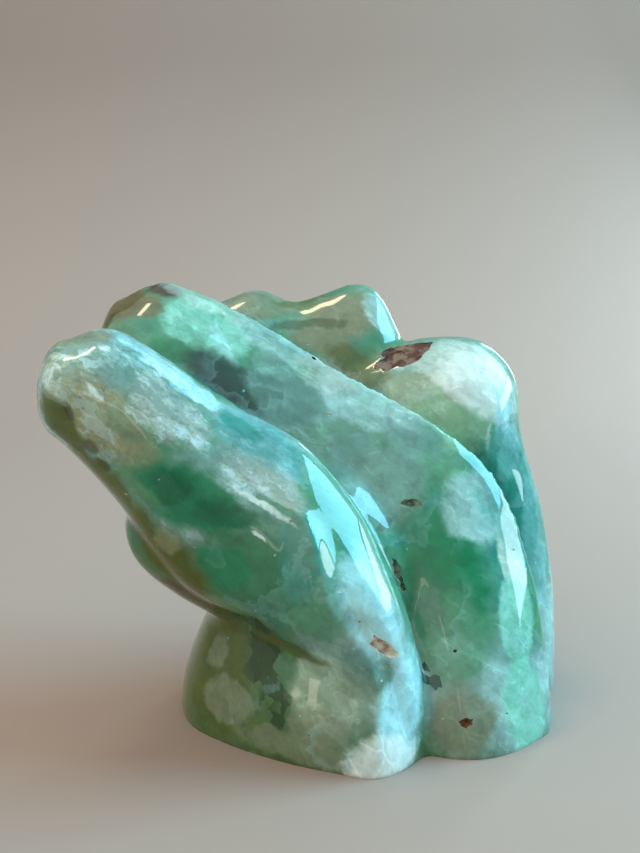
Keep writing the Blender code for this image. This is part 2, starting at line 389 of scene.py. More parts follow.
class Graph:
    """A node tree that is being wired, for shading or for geometry."""

    def __init__(self, tree: bpy.types.NodeTree) -> None:
        """Take hold of a node tree."""
        self.tree = tree
        self.taken = None
        self.given = None

    @classmethod
    def group(cls, name: str, kind: str, takes: dict[str, str], gives: dict[str, str]) -> "Graph":
        """Start a node group.

        Args:
            name: The group's name.
            kind: The type of tree, for shading or for geometry.
            takes: The type of each input by its name.
            gives: The type of each output by its name.

        Returns:
            The group's tree, with its inputs as taken and its outputs as given.
        """
        graph = cls(bpy.data.node_groups.new(name, kind))
        for side, sockets in (("INPUT", takes), ("OUTPUT", gives)):
            for label, socket in sockets.items():
                graph.tree.interface.new_socket(label, in_out=side, socket_type="NodeSocket" + socket)
        graph.taken = graph.node("NodeGroupInput").outputs
        graph.given = graph.node("NodeGroupOutput").inputs
        return graph

    def node(self, kind: str, feeds: dict | None = None, **settings: object) -> bpy.types.Node:
        """Add a node.

        Args:
            kind: The node's type.
            feeds: What feeds each input, by its name or number.
            settings: The node's own settings.

        Returns:
            The node.
        """
        made = self.tree.nodes.new(kind)
        for name, value in settings.items():
            setattr(made, name, value)
        for name, value in (feeds or {}).items():
            self.feed(made.inputs[name], value)
        return made

    def feed(self, socket: bpy.types.NodeSocket, value: Feed) -> None:
        """Link a socket to what feeds it, or give it a fixed value.

        Args:
            socket: The input.
            value: An output, or a fixed value.
        """
        if isinstance(value, bpy.types.NodeSocket):
            self.tree.links.new(value, socket)
        else:
            socket.default_value = value

    def sum(self, operation: str, *values: Feed) -> bpy.types.NodeSocket:
        """Do a sum on numbers.

        Args:
            operation: The Math node's operation.
            values: The numbers.

        Returns:
            The result.
        """
        kind = "ShaderNodeMath"
        return self.node(kind, dict(enumerate(values)), operation=operation).outputs[0]

    def vector(self, operation: str, *values: Feed) -> bpy.types.NodeSocket:
        """Do a sum on vectors.

        Args:
            operation: The Vector Math node's operation.
            values: The vectors.

        Returns:
            The result, a vector, or a number for a dot product or a length.
        """
        kind = "ShaderNodeVectorMath"
        made = self.node(kind, dict(enumerate(values)), operation=operation)
        return made.outputs["Value" if operation in ("DOT_PRODUCT", "LENGTH") else "Vector"]

    def scaled(self, vector: Feed, factor: Feed) -> bpy.types.NodeSocket:
        """Multiply a vector or a colour by a number."""
        made = self.node("ShaderNodeVectorMath", {0: vector, "Scale": factor}, operation="SCALE")
        return made.outputs["Vector"]

    def step(self, value: Feed, low: Feed, high: Feed) -> bpy.types.NodeSocket:
        """Rise smoothly from 0 at low to 1 at high.

        Args:
            value: The number that is read.
            low: Where the rise starts.
            high: Where it ends.

        Returns:
            The share, from 0 to 1.
        """
        feeds = {"Value": value, "From Min": low, "From Max": high}
        return self.node("ShaderNodeMapRange", feeds, interpolation_type="SMOOTHSTEP").outputs[0]

    def blend(self, share: Feed, a: Feed, b: Feed) -> bpy.types.NodeSocket:
        """Mix two colours.

        Args:
            share: The share of the second colour.
            a: The first colour.
            b: The second colour.

        Returns:
            The mixed colour.
        """
        return self.node("ShaderNodeMix", {0: share, 6: a, 7: b}, data_type="RGBA").outputs[2]

    def laid(self, group: bpy.types.NodeTree, feeds: dict, label: str = "") -> bpy.types.NodeSocket:
        """Lay a node group's colours over those so far.

        Args:
            group: The node group.
            feeds: What feeds each of its inputs.
            label: The node's label.

        Returns:
            The colour with the group's.
        """
        return self.node("ShaderNodeGroup", feeds, node_tree=group, label=label).outputs["Colour"]

    def product(self, *factors: Feed) -> bpy.types.NodeSocket:
        """Multiply numbers.

        Args:
            factors: The numbers, two or more.

        Returns:
            Their product.
        """
        result = factors[0]
        for factor in factors[1:]:
            result = self.sum("MULTIPLY", result, factor)
        return result

    def clouds(self, place: Feed, kind: Clouds) -> bpy.types.Node:
        """Add a cloudy noise.

        Args:
            place: The coordinates in millimetres.
            kind: The noise's size and layers.

        Returns:
            The Noise Texture node.
        """
        feeds = {"Vector": place, "Scale": 1 / kind.size, "Detail": kind.detail, "Roughness": kind.rough}
        return self.node("ShaderNodeTexNoise", feeds)

    def wander(self, place: Feed, kind: Clouds) -> bpy.types.NodeSocket:
        """Shift coordinates by a cloudy noise.

        Args:
            place: The coordinates in millimetres.
            kind: The noise's size, layers and reach.

        Returns:
            The shift as a vector.
        """
        cloud = self.clouds(place, kind).outputs["Color"]
        return self.scaled(self.vector("SUBTRACT", cloud, (0.5, 0.5, 0.5)), kind.reach * 2)

    def framed(self, place: Feed, turn: Feed, size: Feed, kind: str = "TEXTURE") -> bpy.types.Node:
        """Read coordinates in a turned and stretched frame, or bring them back out of it.

        Args:
            place: The coordinates.
            turn: How the frame is turned.
            size: The frame's unit along each of its axes.
            kind: TEXTURE into the frame, POINT out of it.

        Returns:
            The Mapping node.
        """
        feeds = {"Vector": place, "Rotation": turn, "Scale": size}
        return self.node("ShaderNodeMapping", feeds, vector_type=kind)


# Photograph and places on the stone


@dataclass(frozen=True)
class PhotoEye:
    """The camera that sees the stone as the photograph does."""

    place: Point = (1.05, -213.0, 99.6)
    tilt: float = 78.0
    lens: float = 50.0
    sensor: float = 36.0
    wide: int = 640
    high: int = 853

    @property
    def focal_pixels(self) -> float:
        """The lens's focal length counted in pixels of the photograph."""
        return self.high * self.lens / self.sensor

    def turn(self) -> Matrix:
        """Give the camera's rotation."""
        return Matrix.Rotation(math.radians(self.tilt), 3, "X")

    def ray(self, pixel: Pixel) -> Vector:
        """Give the direction in which the camera sees a pixel.

        Args:
            pixel: The pixel, from the photograph's top left corner.

        Returns:
            The direction, a unit long.
        """
        across = (pixel[0] - self.wide / 2) / self.focal_pixels
        up = (self.high / 2 - pixel[1]) / self.focal_pixels
        return (self.turn() @ Vector((across, up, -1))).normalized()

    def camera(self) -> bpy.types.Object:
        """Set the camera up and make it the scene's.

        Returns:
            The camera object.
        """
        eye = bpy.data.objects.new("photo_eye", bpy.data.cameras.new("photo_eye"))
        eye.data.lens = self.lens
        eye.data.sensor_width = self.sensor
        eye.data.clip_start = MM
        eye.location = Vector(self.place) * MM
        eye.rotation_euler = (math.radians(self.tilt), 0, 0)
        bpy.context.scene.collection.objects.link(eye)
        bpy.context.scene.camera = eye
        return eye


@dataclass(frozen=True)
class Spot:
    """A place on the stone's surface, with the directions in which it is looked at."""

    place: Vector
    normal: Vector
    axes: Matrix
    pixel: float


class Seen(Enum):
    """How a place on the stone is given: as a pixel of the photograph, or as a bearing round the stone."""

    IN_PHOTO = "pixel"
    AROUND = "azimuth and elevation in degrees"


class Finder:
    """Finds places on the surface of the shaped stone."""

    start_distance: float = 200.0

    def __init__(self, stone: bpy.types.Object, eye: PhotoEye) -> None:
        """Make ready to find places.

        Args:
            stone: The stone, with its final shape in its mesh.
            eye: The camera of the photograph.
        """
        mesh = stone.data
        points = [vertex.co / MM for vertex in mesh.vertices]
        self.tree = BVHTree.FromPolygons(points, [tuple(face.vertices) for face in mesh.polygons])
        self.eye = eye
        low, high = (corner / MM for corner in CAD_BOX)
        self.middle = (low + high) / 2

    def spot(self, at: Pixel, seen: Seen) -> Spot:
        """Find a place on the surface.

        Args:
            at: A pixel, or an azimuth and an elevation.
            seen: Which of the two it is.

        Returns:
            The place in millimetres, with the axes right, up and back, and the length of a pixel there.
        """
        if seen is Seen.IN_PHOTO:
            start = Vector(self.eye.place)
            ray = self.eye.ray(at)
            axes = self.eye.turn()
        else:
            azimuth, elevation = (math.radians(angle) for angle in at)
            out = Vector((math.sin(azimuth), -math.cos(azimuth), math.tan(elevation))).normalized()
            start = self.middle + out * self.start_distance
            ray = -out
            axes = out.to_track_quat("Z", "Y").to_matrix()
        place, normal, _, distance = self.tree.ray_cast(start, ray)
        if place is None:
            raise ValueError(f"no stone at {at} {seen.value}")
        pixel = distance / self.eye.focal_pixels if seen is Seen.IN_PHOTO else 1.0
        return Spot(place, normal, axes, pixel)


# Colours of the stone


class Tint(Enum):
    """The stone's named colours, as linear light."""

    DEEP = (0.000, 0.150, 0.066)
    EMERALD = (0.001, 0.210, 0.092)
    FOREST = (0.004, 0.046, 0.002)
    TEAL = (0.020, 0.240, 0.190)
    DARK_TEAL = (0.000, 0.066, 0.056)
    BLUE_TEAL = (0.085, 0.340, 0.350)
    SEA = (0.035, 0.200, 0.100)
    MEADOW = (0.075, 0.280, 0.160)
    LEAF = (0.110, 0.280, 0.140)
    MINT = (0.200, 0.580, 0.440)
    AQUA = (0.325, 0.565, 0.535)
    PALE_MINT = (0.460, 0.660, 0.580)
    SLATE = (0.085, 0.235, 0.200)
    GREY_GREEN = (0.150, 0.330, 0.280)
    MILK = (0.375, 0.490, 0.430)
    FROST = (0.410, 0.780, 0.820)
    WHITE = (0.760, 0.910, 0.880)
    CREAM = (0.440, 0.540, 0.400)
    SAGE = (0.185, 0.240, 0.152)
    LIGHT_LEAF = (0.250, 0.500, 0.330)
    PALE_SAGE = (0.300, 0.440, 0.310)
    KHAKI = (0.300, 0.345, 0.195)
    TAN = (0.115, 0.118, 0.050)
    OLIVE = (0.066, 0.104, 0.004)
    MOSS = (0.045, 0.070, 0.012)
    BROWN = (0.075, 0.055, 0.018)
    SMOKE = (0.045, 0.040, 0.026)

    @property
    def colour(self) -> tuple[float, float, float, float]:
        """The colour with an alpha of 1."""
        return (*self.value, 1.0)


class Place(Enum):
    """Which coordinates a colour zone's edge follows."""

    FINE = "Fine"
    SOFT = "Soft"
    BROKEN = "Broken"


@dataclass(frozen=True)
class Rim:
    """How a colour zone ends."""

    place: Place
    softness: float
    raggedness: float
    cleft: bool = False


class Edge(Enum):
    """The ways in which a colour zone ends."""

    WISPY = Rim(Place.SOFT, 0.22, 0.44)
    SOFT = Rim(Place.SOFT, 0.28, 0.34)
    CRISP = Rim(Place.FINE, 0.15, 0.20)
    BROKEN = Rim(Place.BROKEN, 0.16, 0.12)
    CLEFT = Rim(Place.FINE, 0.40, 0.30, True)
    SPOT = Rim(Place.FINE, 0.30, 0.35)
    LINE = Rim(Place.FINE, 0.50, 0.24)


@dataclass(frozen=True)
class Zone:
    """A colour zone: where it is, its half-lengths, how far it is turned anticlockwise, and its colour.

    In the photograph lengths are in its pixels, and round the stone they are in millimetres.
    """

    name: str
    at: Pixel
    size: Pixel
    turn: float
    tint: Tint
    strength: float
    edge: Edge = Edge.WISPY
    seen: Seen = Seen.IN_PHOTO


ZONES = (
    Zone("left_end", (120, 306), (28, 34), -15, Tint.TAN, 1.0, Edge.SOFT),
    Zone("left_end_grey", (148, 305), (18, 18), 0, Tint.TAN, 0.8),
    Zone("left_end_dark_edge", (110, 322), (8, 14), -30, Tint.MOSS, 0.6),
    Zone("smoky_spot", (163, 289), (19, 10), -15, Tint.SMOKE, 1.0, Edge.SPOT),
    Zone("mint_field", (208, 328), (46, 34), -30, Tint.MINT, 0.95, Edge.CRISP),
    Zone("mint_crest", (213, 306), (52, 8), -22, Tint.PALE_MINT, 0.45),
    Zone("mint_fracture", (224, 342), (24, 8), -62, Tint.FROST, 0.5, Edge.CLEFT),
    Zone("green_pocket", (176, 353), (26, 13), -20, Tint.EMERALD, 0.75),
    Zone("green_pocket_right", (200, 354), (20, 12), -20, Tint.SEA, 0.6),
    Zone("grey_aqua", (275, 345), (44, 20), -33, Tint.AQUA, 0.65),
    Zone("valley", (232, 386), (56, 20), -33, Tint.DARK_TEAL, 1.0, Edge.SOFT),
    Zone("valley_deepest", (214, 381), (24, 12), -30, Tint.DARK_TEAL, 0.9),
    Zone("middle_slate", (287, 396), (44, 30), -33, Tint.SLATE, 0.85),
    Zone("middle_slate_cloud", (270, 368), (26, 10), -30, Tint.GREY_GREEN, 0.6),
    Zone("middle_aqua", (362, 402), (50, 26), -30, Tint.AQUA, 0.8, Edge.CRISP),
    Zone("middle_veil", (330, 394), (6, 26), 8, Tint.FROST, 0.35, Edge.CLEFT),
    Zone("middle_teal_line", (392, 428), (52, 7), -24, Tint.SLATE, 0.5, Edge.LINE),
    Zone("middle_grey_green", (374, 480), (50, 46), -30, Tint.GREY_GREEN, 0.85),
    Zone("middle_shadow", (345, 455), (22, 30), -35, Tint.SLATE, 0.6),
    Zone("middle_brown_line", (384, 524), (13, 4), 32, Tint.BROWN, 0.5, Edge.SPOT),
    Zone("middle_pale", (482, 505), (34, 48), -55, Tint.AQUA, 0.9, Edge.SOFT),
    Zone("middle_emerald", (446, 550), (36, 38), -12, Tint.EMERALD, 0.97, Edge.CLEFT),
    Zone("middle_emerald_left", (428, 528), (20, 16), -60, Tint.EMERALD, 0.8),
    Zone("middle_emerald_tail", (462, 596), (38, 26), -50, Tint.EMERALD, 0.75),
    Zone("middle_low_left", (402, 592), (14, 40), -18, Tint.SEA, 0.7),
    Zone("middle_patch", (512, 560), (14, 34), 12, Tint.PALE_MINT, 0.9, Edge.CRISP),
    Zone("middle_mint", (517, 622), (20, 44), 0, Tint.MINT, 0.9, Edge.CRISP),
    Zone("middle_green", (458, 640), (38, 44), 0, Tint.MEADOW, 0.85),
    Zone("middle_khaki", (466, 724), (34, 36), 0, Tint.SAGE, 0.8),
    Zone("middle_foot", (526, 706), (26, 50), 8, Tint.MINT, 0.9, Edge.CRISP),
    Zone("dark_wedge", (430, 681), (11, 17), 0, Tint.DARK_TEAL, 0.9, Edge.BROKEN),
    Zone("tip_top", (84, 337), (30, 9), 8, Tint.SAGE, 0.75),
    Zone("tip_cream", (58, 364), (24, 22), 0, Tint.CREAM, 0.6, Edge.SOFT),
    Zone("tip_pale", (112, 366), (46, 21), -20, Tint.GREY_GREEN, 0.7, Edge.CRISP),
    Zone("tip_pale_grey", (98, 358), (16, 9), -25, Tint.GREY_GREEN, 0.6),
    Zone("tip_khaki", (98, 418), (60, 33), -36, Tint.KHAKI, 0.92, Edge.SOFT),
    Zone("tip_sage", (130, 424), (22, 16), -30, Tint.LEAF, 0.4),
    # Painted shade and painted reflection of a brown table: olive along the tip's lower left edge.
    Zone("tip_olive_edge", (60, 428), (13, 38), 28, Tint.OLIVE, 0.85, Edge.SOFT),
    Zone("tip_brown_spot", (68, 412), (4, 9), 20, Tint.BROWN, 0.6, Edge.SPOT),
    Zone("tip_brown_ring", (89, 447), (10, 9), 0, Tint.BROWN, 0.7, Edge.SPOT),
    Zone("tip_brown_fleck", (103, 464), (9, 5), -30, Tint.BROWN, 0.95, Edge.SPOT),
    Zone("milky_field", (170, 406), (44, 32), -45, Tint.MILK, 0.95),
    Zone("milky_shadow", (186, 392), (26, 5), -30, Tint.SLATE, 0.45),
    Zone("streak_upper", (143, 350), (32, 5), -33, Tint.FROST, 0.8, Edge.LINE),
    Zone("streak_gap", (150, 362), (26, 4), -33, Tint.SLATE, 0.6, Edge.LINE),
    Zone("streak_lower", (168, 369), (34, 6), -33, Tint.FROST, 0.85, Edge.LINE),
    Zone("white_cloud", (197, 391), (32, 9), -36, Tint.FROST, 0.85),
    Zone("blue_teal", (262, 440), (52, 26), -38, Tint.BLUE_TEAL, 0.85),
    Zone("blue_teal_dark", (240, 426), (26, 8), -30, Tint.TEAL, 0.7),
    Zone("emerald_field", (192, 498), (62, 29), -26, Tint.EMERALD, 0.98, Edge.SOFT),
    Zone("emerald_deep_left", (174, 484), (24, 17), -20, Tint.DEEP, 0.9),
    Zone("emerald_deep_right", (230, 514), (34, 14), -12, Tint.DEEP, 0.9),
    Zone("emerald_left_strip", (136, 486), (36, 6), -40, Tint.LEAF, 0.55, Edge.LINE),
    Zone("grey_veil", (264, 484), (44, 20), 148, Tint.MILK, 0.8, Edge.CLEFT),
    Zone("sea_field", (254, 578), (58, 46), -20, Tint.SEA, 0.9),
    Zone("sea_light", (238, 612), (34, 10), -28, Tint.LEAF, 0.5),
    Zone("dark_curve", (224, 570), (24, 18), -40, Tint.EMERALD, 0.8),
    Zone("teal_face", (300, 560), (22, 46), 0, Tint.TEAL, 0.8, Edge.SOFT),
    Zone("aqua_face", (374, 606), (26, 60), 18, Tint.FROST, 0.8, Edge.SOFT),
    Zone("face_low_green", (310, 622), (40, 14), -15, Tint.MEADOW, 0.7),
    # Painted shade and painted reflection of a brown table: olive and moss on the keel, chin and left of the
    # foot, which face down.
    Zone("keel", (100, 476), (46, 15), -38, Tint.OLIVE, 0.9, Edge.SOFT),
    Zone("chin", (168, 558), (28, 58), 38, Tint.OLIVE, 0.97, Edge.SOFT),
    Zone("chin_bottom", (198, 600), (46, 14), -28, Tint.MOSS, 0.9, Edge.SOFT),
    Zone("chin_light", (168, 540), (18, 20), 0, Tint.KHAKI, 0.5),
    Zone("foot_olive", (215, 668), (52, 60), 0, Tint.OLIVE, 0.95, Edge.SOFT),
    Zone("foot_patch", (226, 700), (38, 24), -8, Tint.SAGE, 0.75, Edge.CRISP),
    Zone("foot_streak", (218, 650), (12, 20), -12, Tint.SAGE, 0.6),
    Zone("foot_forest", (264, 650), (28, 30), -20, Tint.FOREST, 0.97, Edge.BROKEN),
    Zone("foot_wedge", (275, 700), (14, 24), 0, Tint.FOREST, 0.8, Edge.BROKEN),
    Zone("foot_grey", (328, 692), (40, 42), 0, Tint.PALE_SAGE, 0.8, Edge.SOFT),
    # Painted highlight: a small cream glow on the foot, where a warm lamp is reflected.
    Zone("foot_painted_glow", (299, 694), (9, 9), 0, Tint.CREAM, 0.8, Edge.SOFT),
    Zone("foot_middle", (316, 728), (34, 18), -8, Tint.SAGE, 0.7, Edge.CRISP),
    # Painted shade and painted reflection of a brown table: an olive band along the front flame's underside.
    Zone("under_edge", (284, 645), (54, 6), -12, Tint.OLIVE, 0.75, Edge.SOFT),
    Zone("foot_dark_blob", (362, 660), (20, 16), 0, Tint.SLATE, 0.75),
    Zone("foot_bottom", (290, 748), (64, 14), -12, Tint.SAGE, 0.7),
    Zone("foot_right", (403, 705), (24, 56), -5, Tint.FROST, 0.95, Edge.SOFT),
    Zone("foot_frost", (394, 758), (42, 20), 12, Tint.WHITE, 0.85, Edge.SOFT),
    Zone("lobe_sage", (260, 302), (34, 16), 0, Tint.SAGE, 0.85),
    Zone("lobe_dark_band", (306, 301), (30, 6), 12, Tint.OLIVE, 0.6),
    Zone("hump_sage", (345, 312), (40, 26), 0, Tint.SAGE, 0.95, Edge.SOFT),
    # Painted shade: a dark band under the hump's rolled rim.
    Zone("hump_painted_shade_band", (308, 323), (40, 6), 4, Tint.FOREST, 0.55, Edge.SOFT),
    Zone("hump_grey", (318, 339), (28, 11), -10, Tint.SAGE, 0.85),
    Zone("hump_valley", (362, 368), (38, 20), -32, Tint.OLIVE, 0.75),
    Zone("hump_right", (383, 315), (15, 28), 25, Tint.AQUA, 0.7),
    Zone("right_mint", (452, 358), (46, 24), -5, Tint.PALE_MINT, 0.65, Edge.CRISP),
    Zone("right_sage", (426, 398), (44, 24), -25, Tint.PALE_SAGE, 0.9, Edge.SOFT),
    Zone("right_green", (458, 426), (42, 24), -25, Tint.LIGHT_LEAF, 0.85),
    Zone("right_white", (481, 390), (52, 50), 145, Tint.WHITE, 0.8, Edge.CLEFT),
    Zone("right_cyan", (503, 414), (9, 36), -6, Tint.FROST, 0.8),
    Zone("strip_aqua", (511, 452), (12, 34), -10, Tint.FROST, 0.7),
    # Painted highlight: a thin white streak standing for a reflected lamp on the right shoulder.
    Zone("right_glint", (489, 437), (1.8, 14), -4, Tint.WHITE, 0.7, Edge.LINE),
    Zone("strip_teal", (536, 548), (14, 62), 3, Tint.FROST, 0.95),
    Zone("veil_line", (262, 502), (34, 2.6), -33, Tint.WHITE, 0.8, Edge.LINE),
    # Painted highlights: thin white glints on the tip of the front flame.
    Zone("tip_line", (95, 389), (10, 2.2), -50, Tint.WHITE, 0.85, Edge.LINE),
    Zone("tip_painted_glint", (58, 364), (6, 1.8), -35, Tint.WHITE, 0.85, Edge.LINE),
    Zone("tip_painted_glint_high", (106, 346), (7, 3), -40, Tint.WHITE, 0.7, Edge.LINE),
    # Painted highlight: a short white streak on the emerald field of the front flame.
    Zone("emerald_glint", (259, 535), (8, 1.8), -42, Tint.WHITE, 0.85, Edge.LINE),
    Zone("back_emerald", (175, 10), (17, 12), 25, Tint.EMERALD, 0.9, Edge.SOFT, Seen.AROUND),
    Zone("back_deep", (168, 14), (7, 5), 25, Tint.DEEP, 0.8, Edge.WISPY, Seen.AROUND),
    Zone("back_milk", (200, 28), (14, 8), -30, Tint.MILK, 0.85, Edge.WISPY, Seen.AROUND),
    Zone("back_frost", (150, 34), (10, 7), 20, Tint.PALE_MINT, 0.8, Edge.CRISP, Seen.AROUND),
    # Painted shade and painted reflection of a brown table: olive low on the back of the foot.
    Zone("back_foot", (185, -22), (20, 9), 0, Tint.OLIVE, 0.8, Edge.SOFT, Seen.AROUND),
    Zone("back_foot_patch", (160, -24), (10, 7), 0, Tint.SAGE, 0.8, Edge.CRISP, Seen.AROUND),
    Zone("back_sage", (208, -4), (14, 9), -20, Tint.SAGE, 0.8, Edge.SOFT, Seen.AROUND),
    Zone("back_aqua", (138, 2), (11, 13), 0, Tint.AQUA, 0.8, Edge.SOFT, Seen.AROUND),
    Zone("back_fibre", (172, 26), (9, 0.5), 38, Tint.WHITE, 0.5, Edge.LINE, Seen.AROUND),
    Zone("back_dark", (188, 16), (17, 2.4), -28, Tint.DARK_TEAL, 0.75, Edge.WISPY, Seen.AROUND),
    # Painted shade and painted reflection of a brown table: olive under the left side.
    Zone("left_under", (260, -5), (14, 12), 0, Tint.OLIVE, 0.8, Edge.SOFT, Seen.AROUND),
    Zone("left_teal", (235, 15), (12, 9), 30, Tint.TEAL, 0.7, Edge.WISPY, Seen.AROUND),
    Zone("right_side_teal", (95, -5), (10, 18), 0, Tint.TEAL, 0.8, Edge.SOFT, Seen.AROUND),
    Zone("right_side_frost", (108, -20), (8, 8), 0, Tint.PALE_MINT, 0.8, Edge.WISPY, Seen.AROUND),
    Zone("top_milk", (180, 70), (9, 7), 0, Tint.MILK, 0.7, Edge.WISPY, Seen.AROUND),
)


@dataclass(frozen=True)
class Veil:
    """A healed veil: where its sheet is read, how wide its folds are and how far it fades to one side."""

    shift: Point
    size: float
    breadth: float
    tint: Tint
    strength: float


@dataclass(frozen=True)
class Flecks:
    """Small flecks: the size of their cells, their radius and the share of the cells that have one."""

    size: float
    radius: float
    share: float
    tint: Tint
    strength: float


@dataclass(frozen=True)
class FluoriteFinish:
    """The stone's polished material: cloudy green fluorite with streaks, breaks and specks under a polish.

    A Span says where a mask begins and where it is full.
    """

    # Shared coordinates and cloudiness
    ridge_turn: float = 42.0
    quick_shift: Clouds = Clouds(2.2, 3, reach=0.7)
    slow_shift: Clouds = Clouds(12, 2, reach=2.4)
    streak: Point = (14.0, 2.6, 3.2)
    streak_clouds: Clouds = Clouds(1, 5, 0.6)
    streak_share: float = 0.35
    body_clouds: Clouds = Clouds(7, 6, 0.66)
    cloud_gain: float = 4.2
    mottle_clouds: Clouds = Clouds(2.2, 4, 0.6)
    mottle_gain: float = 4.5
    shard: Point = (6.0, 1.7, 2.4)
    broken_share: float = 0.75
    crack_scale: float = 0.45
    crack_width: float = 0.05
    wisp: Point = (7.0, 3.2, 3.2)
    wisp_clouds: Clouds = Clouds(1, 6, 0.72)

    # Colour where no zone lies
    drift: Clouds = Clouds(26, 3, 0.55)
    drift_stops: tuple[tuple[float, Tint], ...] = (
        (0.36, Tint.TEAL),
        (0.46, Tint.MEADOW),
        (0.56, Tint.GREY_GREEN),
        (0.68, Tint.AQUA),
    )
    # Olive low on the left is a painted reflection of a brown table under the stone.
    table_reflection_side: Point = (-0.6, 0.0, -0.9)
    table_reflection_from: Span = (-34.0, 4.0)
    table_reflection_share: float = 0.8

    # Colour zones
    zone_depth: float = 0.75
    cleft_edge: Span = (0.50, 0.30)
    cleft_raggedness: float = 0.5
    zones_laid_together: int = 30
    colour_shift: float = 0.3

    # White wisps and darker gaps
    brightness: Point = (0.2, 0.6, 0.2)
    wisp_from: Span = (0.20, 0.42)
    wisp_side: Point = (-0.5, -1.0, 0.35)
    wisp_rise: Span = (36.0, 52.0)
    wisp_least: float = 0.2
    wisp_light: Span = (0.57, 0.64)
    wisp_gap: Span = (0.56, 0.49)
    wisp_share: float = 0.7
    gap_share: float = 0.5
    wisp_tint: Point = (0.52, 0.80, 0.86)
    gap_dims: Point = (0.30, 0.52, 0.55)
    facet_share: float = 0.12
    net_width: float = 0.2
    net_share: float = 0.2

    # Healed veils and flecks
    veils: tuple[Veil, ...] = (
        Veil((0, 0, 0), 17, 0.10, Tint.FROST, 0.16),
        Veil((9, 80, 31), 13, 0.12, Tint.DARK_TEAL, 0.20),
    )
    veil_sheet: Clouds = Clouds(1, 5, 0.55)
    veil_edge: float = 0.02
    veil_patches: Clouds = Clouds(5 / 3, 1)
    veil_from: Span = (0.45, 0.6)
    flecks: tuple[Flecks, ...] = (
        Flecks(3.2, 0.09, 0.25, Tint.FROST, 0.7),
        Flecks(4.7, 0.07, 0.12, Tint.MOSS, 0.8),
    )

    # Lighter and darker places
    cloud_lift: float = 0.16
    mottle_lift: float = 0.16
    facet_lift: float = 0.12
    crack_from: Span = (0.48, 0.60)
    crack_lift: float = 0.25

    # Polish and inner glow
    roughness: float = 0.24
    coat: float = 1.0
    coat_roughness: float = 0.03
    index: float = 1.43
    under_gloss: float = 0.15
    glow: float = 0.45
    glow_reach: Point = (0.5, 1.0, 0.85)
    glow_depth: float = 3.0

    def places_group(self) -> bpy.types.NodeTree:
        """Build the group that gives the coordinates and the cloudiness that all colours share.

        Returns:
            The node group.
        """
        gives = dict.fromkeys(("Fine", "Soft", "Broken"), "Vector")
        gives |= dict.fromkeys(("Cloud", "Mottle", "Wisp", "Facet", "Crack"), "Float")
        graph = Graph.group("stone_places", "ShaderNodeTree", {"Place": "Vector"}, gives)
        place = graph.scaled(graph.taken["Place"], 1 / MM)
        fine = graph.vector("ADD", place, graph.wander(place, self.quick_shift))
        soft = graph.vector("ADD", fine, graph.wander(place, self.slow_shift))
        ridge = Euler((0, math.radians(self.ridge_turn), 0))
        in_shards = graph.framed(fine, ridge, self.shard).outputs[0]
        feeds = {"Vector": in_shards, "Scale": 1.0}
        shards = graph.node("ShaderNodeTexVoronoi", feeds, distance="CHEBYCHEV")
        feeds = {"Vector": in_shards, "Scale": self.crack_scale}
        cracks = graph.node("ShaderNodeTexVoronoi", feeds, feature="DISTANCE_TO_EDGE")
        shard_middle = graph.framed(shards.outputs["Position"], ridge, self.shard, "POINT").outputs[0]
        feeds = {0: self.broken_share, 4: place, 5: shard_middle}
        broken = graph.node("ShaderNodeMix", feeds, data_type="VECTOR").outputs[1]
        in_streaks = graph.framed(fine, ridge, self.streak).outputs[0]
        streaks = graph.clouds(in_streaks, self.streak_clouds).outputs[0]
        clouds = graph.clouds(fine, self.body_clouds).outputs[0]
        cloud = graph.node("ShaderNodeMix", {0: self.streak_share, 2: clouds, 3: streaks}).outputs[0]
        mottle = graph.clouds(soft, self.mottle_clouds).outputs[0]
        in_wisps = graph.framed(soft, ridge, self.wisp).outputs[0]
        for name, value in (
            ("Fine", fine),
            ("Soft", soft),
            ("Broken", broken),
            ("Cloud", graph.product(graph.sum("SUBTRACT", cloud, 0.5), self.cloud_gain)),
            ("Mottle", graph.product(graph.sum("SUBTRACT", mottle, 0.5), self.mottle_gain)),
            ("Wisp", graph.clouds(in_wisps, self.wisp_clouds).outputs[0]),
            ("Facet", graph.vector("DOT_PRODUCT", shards.outputs["Color"], (1, 0, 0))),
            ("Crack", graph.step(cracks.outputs["Distance"], self.crack_width, 0.0)),
        ):
            graph.feed(graph.given[name], value)
        return graph.tree

    def zone_group(self, cleft: bool) -> bpy.types.NodeTree:
        """Build a group that lays one colour zone over the colours so far.

        Args:
            cleft: Whether the zone is broken off along a ragged line above its middle.

        Returns:
            The node group.
        """
        takes = {"Colour": "Color", "Tint": "Color"}
        takes |= dict.fromkeys(("Place", "Middle", "Turn", "Reach"), "Vector")
        takes |= dict.fromkeys(("Cloud", "Strength", "Raggedness", "Outside", "Inside"), "Float")
        name = "cleft_zone" if cleft else "colour_zone"
        graph = Graph.group(name, "ShaderNodeTree", takes, {"Colour": "Color"})
        taken = graph.taken
        lying = graph.framed(taken["Place"], taken["Turn"], taken["Reach"])
        graph.feed(lying.inputs["Location"], taken["Middle"])
        local = lying.outputs[0]
        ragged = graph.product(taken["Cloud"], taken["Raggedness"])
        depth = graph.sum("SUBTRACT", graph.sum("ADD", ragged, 1.0), graph.vector("LENGTH", local))
        share = graph.product(graph.step(depth, taken["Outside"], taken["Inside"]), taken["Strength"])
        if cleft:
            height = graph.vector("DOT_PRODUCT", local, (0, 1, 0))
            height = graph.sum("MULTIPLY_ADD", ragged, self.cleft_raggedness, height)
            share = graph.product(share, graph.step(height, *self.cleft_edge))
        graph.feed(graph.given["Colour"], graph.blend(share, taken["Colour"], taken["Tint"]))
        return graph.tree

